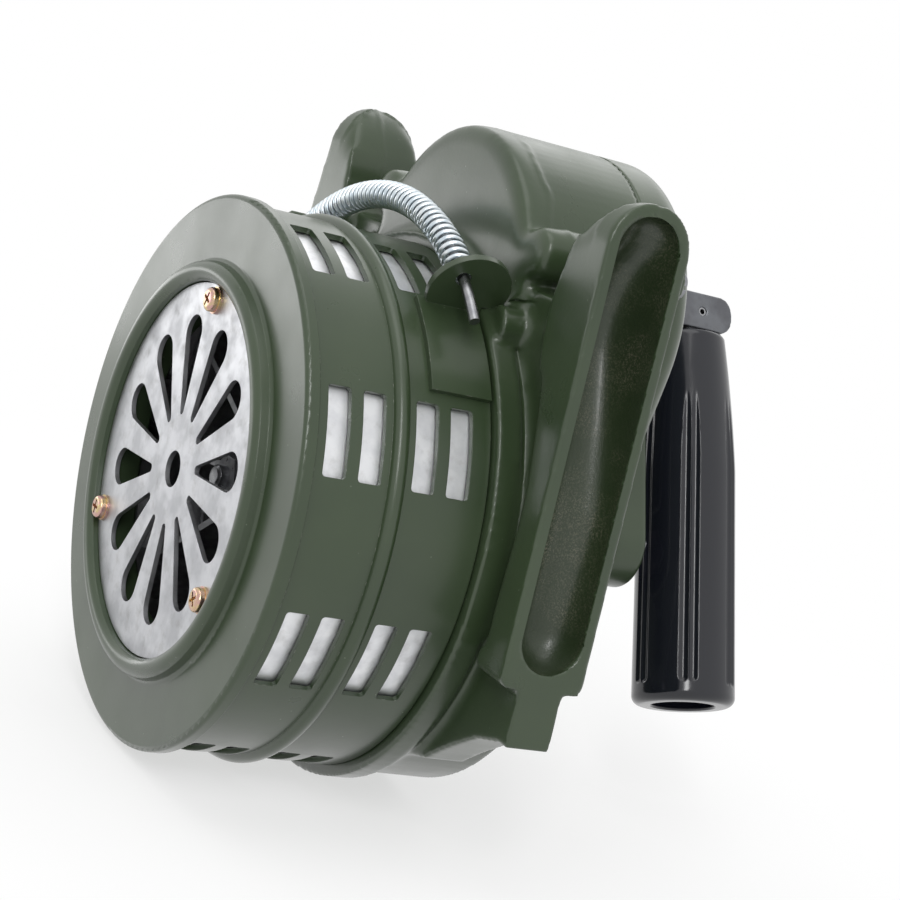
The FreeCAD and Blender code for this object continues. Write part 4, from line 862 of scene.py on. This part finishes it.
soft_casting("gearbox_cover", "housing", 0.8, 30, 3, enamel_soft, cover_inside)
soft_casting("crank_arm", "crank", 0.5, 30, 4, enamel_soft, pin_bores)
soft_casting("folding_link", "grip_link", 0.4, 10, 9, metals["satin_grey_casting"], pin_bores)

# %% [markdown]
# ## Folding grip
# The moulded grip is a turned form with six pairs of narrow flutes. Their floor sinks less than the
# neck does, so they run out in pointed arches where the neck grows slimmer. A grid of rings and columns
# follows that exactly: the radius at a point is the lesser of the turned form and the flute.

# %% The grip's radius
GRIP_START = 7.4
GRIP_LENGTH = 122.6
NECK, MIDDLE, END = 11.8, 15.9, 16.5
NECK_LENGTH = 46.0
NECK_BULGE = 0.45
END_ROUND = 3.0
FLUTE_GROUPS = 6
FLUTE_STEP = 5.3
FLUTE_RADIUS = 1.7
FLUTE_DEPTH = 0.85
FLUTE_SINK = 1.6
FLUTES_END = 5.5
RUN_OUT = 1.5
OFF_FLUTES = 99.0


def turned_radius(s):
    """The grip's radius without flutes, a distance in millimetres from its upper end."""
    if s < 1.0:
        return NECK - 1.0 + math.sqrt(max(0.0, 1 - (1 - s) ** 2))
    if s < NECK_LENGTH:
        t = s / NECK_LENGTH
        return NECK + (MIDDLE - NECK) * ((1 + NECK_BULGE) * t - NECK_BULGE * t * t)
    radius = MIDDLE + (END - MIDDLE) * (s - NECK_LENGTH) / (GRIP_LENGTH - NECK_LENGTH)
    left = GRIP_LENGTH - s
    if left < END_ROUND:
        radius -= END_ROUND - math.sqrt(max(0.0, END_ROUND ** 2 - (END_ROUND - left) ** 2))
    return radius


def flute_radius_at(angle, s):
    """How far from the axis the flute's floor is at an angle, or a large number off the flutes."""
    step = 360 / FLUTE_GROUPS
    off = (angle + step / 2) % step - step / 2
    nearest = min(abs(off - FLUTE_STEP), abs(off + FLUTE_STEP))
    outer = MIDDLE + (END - MIDDLE) * max(0.0, (s - NECK_LENGTH) / (GRIP_LENGTH - NECK_LENGTH))
    outer -= FLUTE_SINK * max(0.0, 1 - s / NECK_LENGTH)
    centre = outer - FLUTE_DEPTH + FLUTE_RADIUS
    across = math.radians(nearest) * outer
    if across >= FLUTE_RADIUS:
        return OFF_FLUTES
    run_out = max(0.0, s - (GRIP_LENGTH - FLUTES_END - RUN_OUT)) / RUN_OUT
    return centre - math.sqrt(FLUTE_RADIUS ** 2 - across ** 2) + run_out * FLUTE_DEPTH * 1.3


print("grip radius at mid length:", round(turned_radius(GRIP_LENGTH / 2), 2), "mm")

# %% [markdown]
# ## The grip's mesh
# The rows stand close where the radius changes fast, at both ends, and the last ones go into the hollow
# end and back through the bore, which closes the form. The grip spins freely, so its turn at rest is
# the one in the picture, with one pair of flutes just beside the middle.

# %% Fluted grip
GRIP_AXIS = Vector((math.sin(LEAN) * THROW, 179.6 + AXIS_BACK, AXIS_HEIGHT + math.cos(LEAN) * THROW))
DOWN = Vector((-math.sin(LEAN), 0, -math.cos(LEAN)))
ACROSS = Vector((0, 1, 0)).cross(DOWN)
COLUMNS = 360
RECESS_RADIUS, RECESS_DEPTH, BORE = 10.0, 9.0, 4.6
MOUTH_BEVEL = 0.5
GROUP_ASIDE = math.radians(5.3)
to_camera = (CAMERA_PLACE / MM - GRIP_AXIS).normalized()
GRIP_TURN = math.atan2(to_camera.dot(ACROSS), to_camera.y) + GROUP_ASIDE


def grip_rows():
    """The grip's rows of (radius, distance from its upper end), one pair a column."""
    stations = [0.0, 0.15, 0.4, 0.7, 1.0]
    stations += list(np.arange(2.0, GRIP_LENGTH - FLUTES_END - 2, 1.5))
    stations += list(np.arange(GRIP_LENGTH - FLUTES_END - 2, GRIP_LENGTH - END_ROUND, 0.3))
    stations += [GRIP_LENGTH - END_ROUND * (1 - math.sin(math.radians(a))) for a in range(0, 91, 10)]
    rows = [[(min(turned_radius(s), flute_radius_at(c * 360 / COLUMNS, s)), s) for c in range(COLUMNS)]
            for s in stations]
    floor = GRIP_LENGTH - RECESS_DEPTH
    mouth = ((RECESS_RADIUS + MOUTH_BEVEL, GRIP_LENGTH), (RECESS_RADIUS, GRIP_LENGTH - MOUTH_BEVEL))
    rows += [[ring] * COLUMNS for ring in (*mouth, (RECESS_RADIUS, floor), (BORE, floor), (BORE, 0.0))]
    return rows


def grip_mesh():
    rows = grip_rows()
    verts = []
    for row in rows:
        for c, (radius, s) in enumerate(row):
            turn = 2 * math.pi * c / COLUMNS + GRIP_TURN
            out = Vector((0, 1, 0)) * math.cos(turn) + ACROSS * math.sin(turn)
            verts.append((GRIP_AXIS + DOWN * (GRIP_START + s) + out * radius) * MM)
    faces = []
    for r in range(len(rows)):
        here, there = r * COLUMNS, ((r + 1) % len(rows)) * COLUMNS
        for c in range(COLUMNS):
            after = (c + 1) % COLUMNS
            faces.append((here + c, here + after, there + after, there + c))
    mesh = bpy.data.meshes.new("fluted_grip")
    mesh.from_pydata(verts, [], faces)
    with_outward_faces(mesh)
    shade_smooth(mesh, sharp_above=35)
    return mesh


grip_piece = shown("fluted_grip", grip_mesh(), "grip_sleeve", black_moulding, "grip")
print("grip:", len(grip_piece.data.polygons), "faces")

# %% [markdown]
# ## Return spring
# The spring is cold-drawn wire, wound open and plated with bright zinc. When the shutter turns, its far end
# travels with the lever and the near end stays on the anchor. Its wire is swept along the coil as a ring of
# points that turns with the coil.

# %% Spring wire
SPRING_ARC = 90.0
SPRING_Y = 46.5 + AXIS_BACK
WIRE = 1.4
OUTSIDE = 8.4
TURNS = 40
WIRE_SIDES = 12
STEPS_A_TURN = 28
ANCHOR_ANGLE, LEVER_ANGLE = -41.0, 31.0
ANCHOR_HALF = 2.5
SEAT = math.degrees((WIRE / 2 + 0.1) / SPRING_ARC)
SPRING_LOW = ANCHOR_ANGLE + math.degrees(ANCHOR_HALF / SPRING_ARC) + SEAT
SPRING_HIGH = LEVER_ANGLE - SEAT
TINY = 1e-4


def on_arc(radius, angle, along):
    """A point at an angle round the drum from straight up towards +X, in metres."""
    turn = math.radians(angle)
    return Vector((radius * math.sin(turn), along, AXIS_HEIGHT + radius * math.cos(turn))) * MM


def coil_point(t):
    """The middle of the wire at a share of the spring's length."""
    coil = (OUTSIDE - WIRE) / 2
    swing = 2 * math.pi * t * TURNS
    angle = SPRING_LOW + (SPRING_HIGH - SPRING_LOW) * t
    return on_arc(SPRING_ARC + coil * math.cos(swing), angle, SPRING_Y + coil * math.sin(swing))


def wire_mesh():
    steps = TURNS * STEPS_A_TURN
    verts, faces = [], []
    for i in range(steps + 1):
        t = i / steps
        here = coil_point(t)
        along = (coil_point(t + TINY) - coil_point(t - TINY)).normalized()
        middle = on_arc(SPRING_ARC, SPRING_LOW + (SPRING_HIGH - SPRING_LOW) * t, SPRING_Y)
        out = here - middle
        out = (out - along * out.dot(along)).normalized()
        side = along.cross(out)
        for k in range(WIRE_SIDES):
            turn = 2 * math.pi * k / WIRE_SIDES
            verts.append(here + (out * math.cos(turn) + side * math.sin(turn)) * WIRE / 2 * MM)
    for i in range(steps):
        low, high = i * WIRE_SIDES, (i + 1) * WIRE_SIDES
        for k in range(WIRE_SIDES):
            after = (k + 1) % WIRE_SIDES
            faces.append((low + k, low + after, high + after, high + k))
    faces.append(tuple(reversed(range(WIRE_SIDES))))
    faces.append(tuple(range(steps * WIRE_SIDES, (steps + 1) * WIRE_SIDES)))
    mesh = bpy.data.meshes.new("wound_spring")
    mesh.from_pydata(verts, [], faces)
    shade_smooth(mesh)
    return mesh


spring = bpy.data.objects.new("wound_spring", wire_mesh())
bpy.context.scene.collection.objects.link(spring)
spring.data.materials.append(metals["bright_zinc_wire"])
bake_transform(spring)
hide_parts("return_spring")
print("spring:", TURNS, "turns,", len(spring.data.vertices), "points")

# %% [markdown]
# ## Flush rivets
# The lever's base is riveted to the ring. The heads are dressed flush, follow the ring's curve and are
# painted over, so they hardly show. Each is a turned form bent round the drum.

# %% Lever rivets
RIVET_ANGLES = (36.0, 48.5)
RIVET_Y = (37.5 + 56.5) / 2 + AXIS_BACK
RIVET_PROFILE = ((1.6, 76.75), (1.6, 79.85), (2.7, 79.85), (2.7, 79.91), (1.8, 79.915), (0.9, 79.92))
RIVET_SIDES = 32


def rivet_mesh():
    verts, faces = [], []
    for angle in RIVET_ANGLES:
        start = len(verts)
        for radius, reach in RIVET_PROFILE:
            for k in range(RIVET_SIDES):
                turn = 2 * math.pi * k / RIVET_SIDES
                round_drum = math.degrees(radius * math.sin(turn) / reach)
                verts.append(on_arc(reach, angle + round_drum, RIVET_Y + radius * math.cos(turn)))
        for r in range(len(RIVET_PROFILE) - 1):
            low, high = start + r * RIVET_SIDES, start + (r + 1) * RIVET_SIDES
            for k in range(RIVET_SIDES):
                after = (k + 1) % RIVET_SIDES
                faces.append((low + k, low + after, high + after, high + k))
        faces.append(tuple(range(len(verts) - RIVET_SIDES, len(verts))))
        faces.append(tuple(reversed(range(start, start + RIVET_SIDES))))
    mesh = bpy.data.meshes.new("flush_rivets")
    mesh.from_pydata(verts, [], faces)
    with_outward_faces(mesh)
    shade_smooth(mesh, sharp_above=35)
    return mesh


shown("flush_rivets", rivet_mesh(), "shutter", enamel_soft, "lever_rivets")
print("rivets at", RIVET_ANGLES, "degrees")
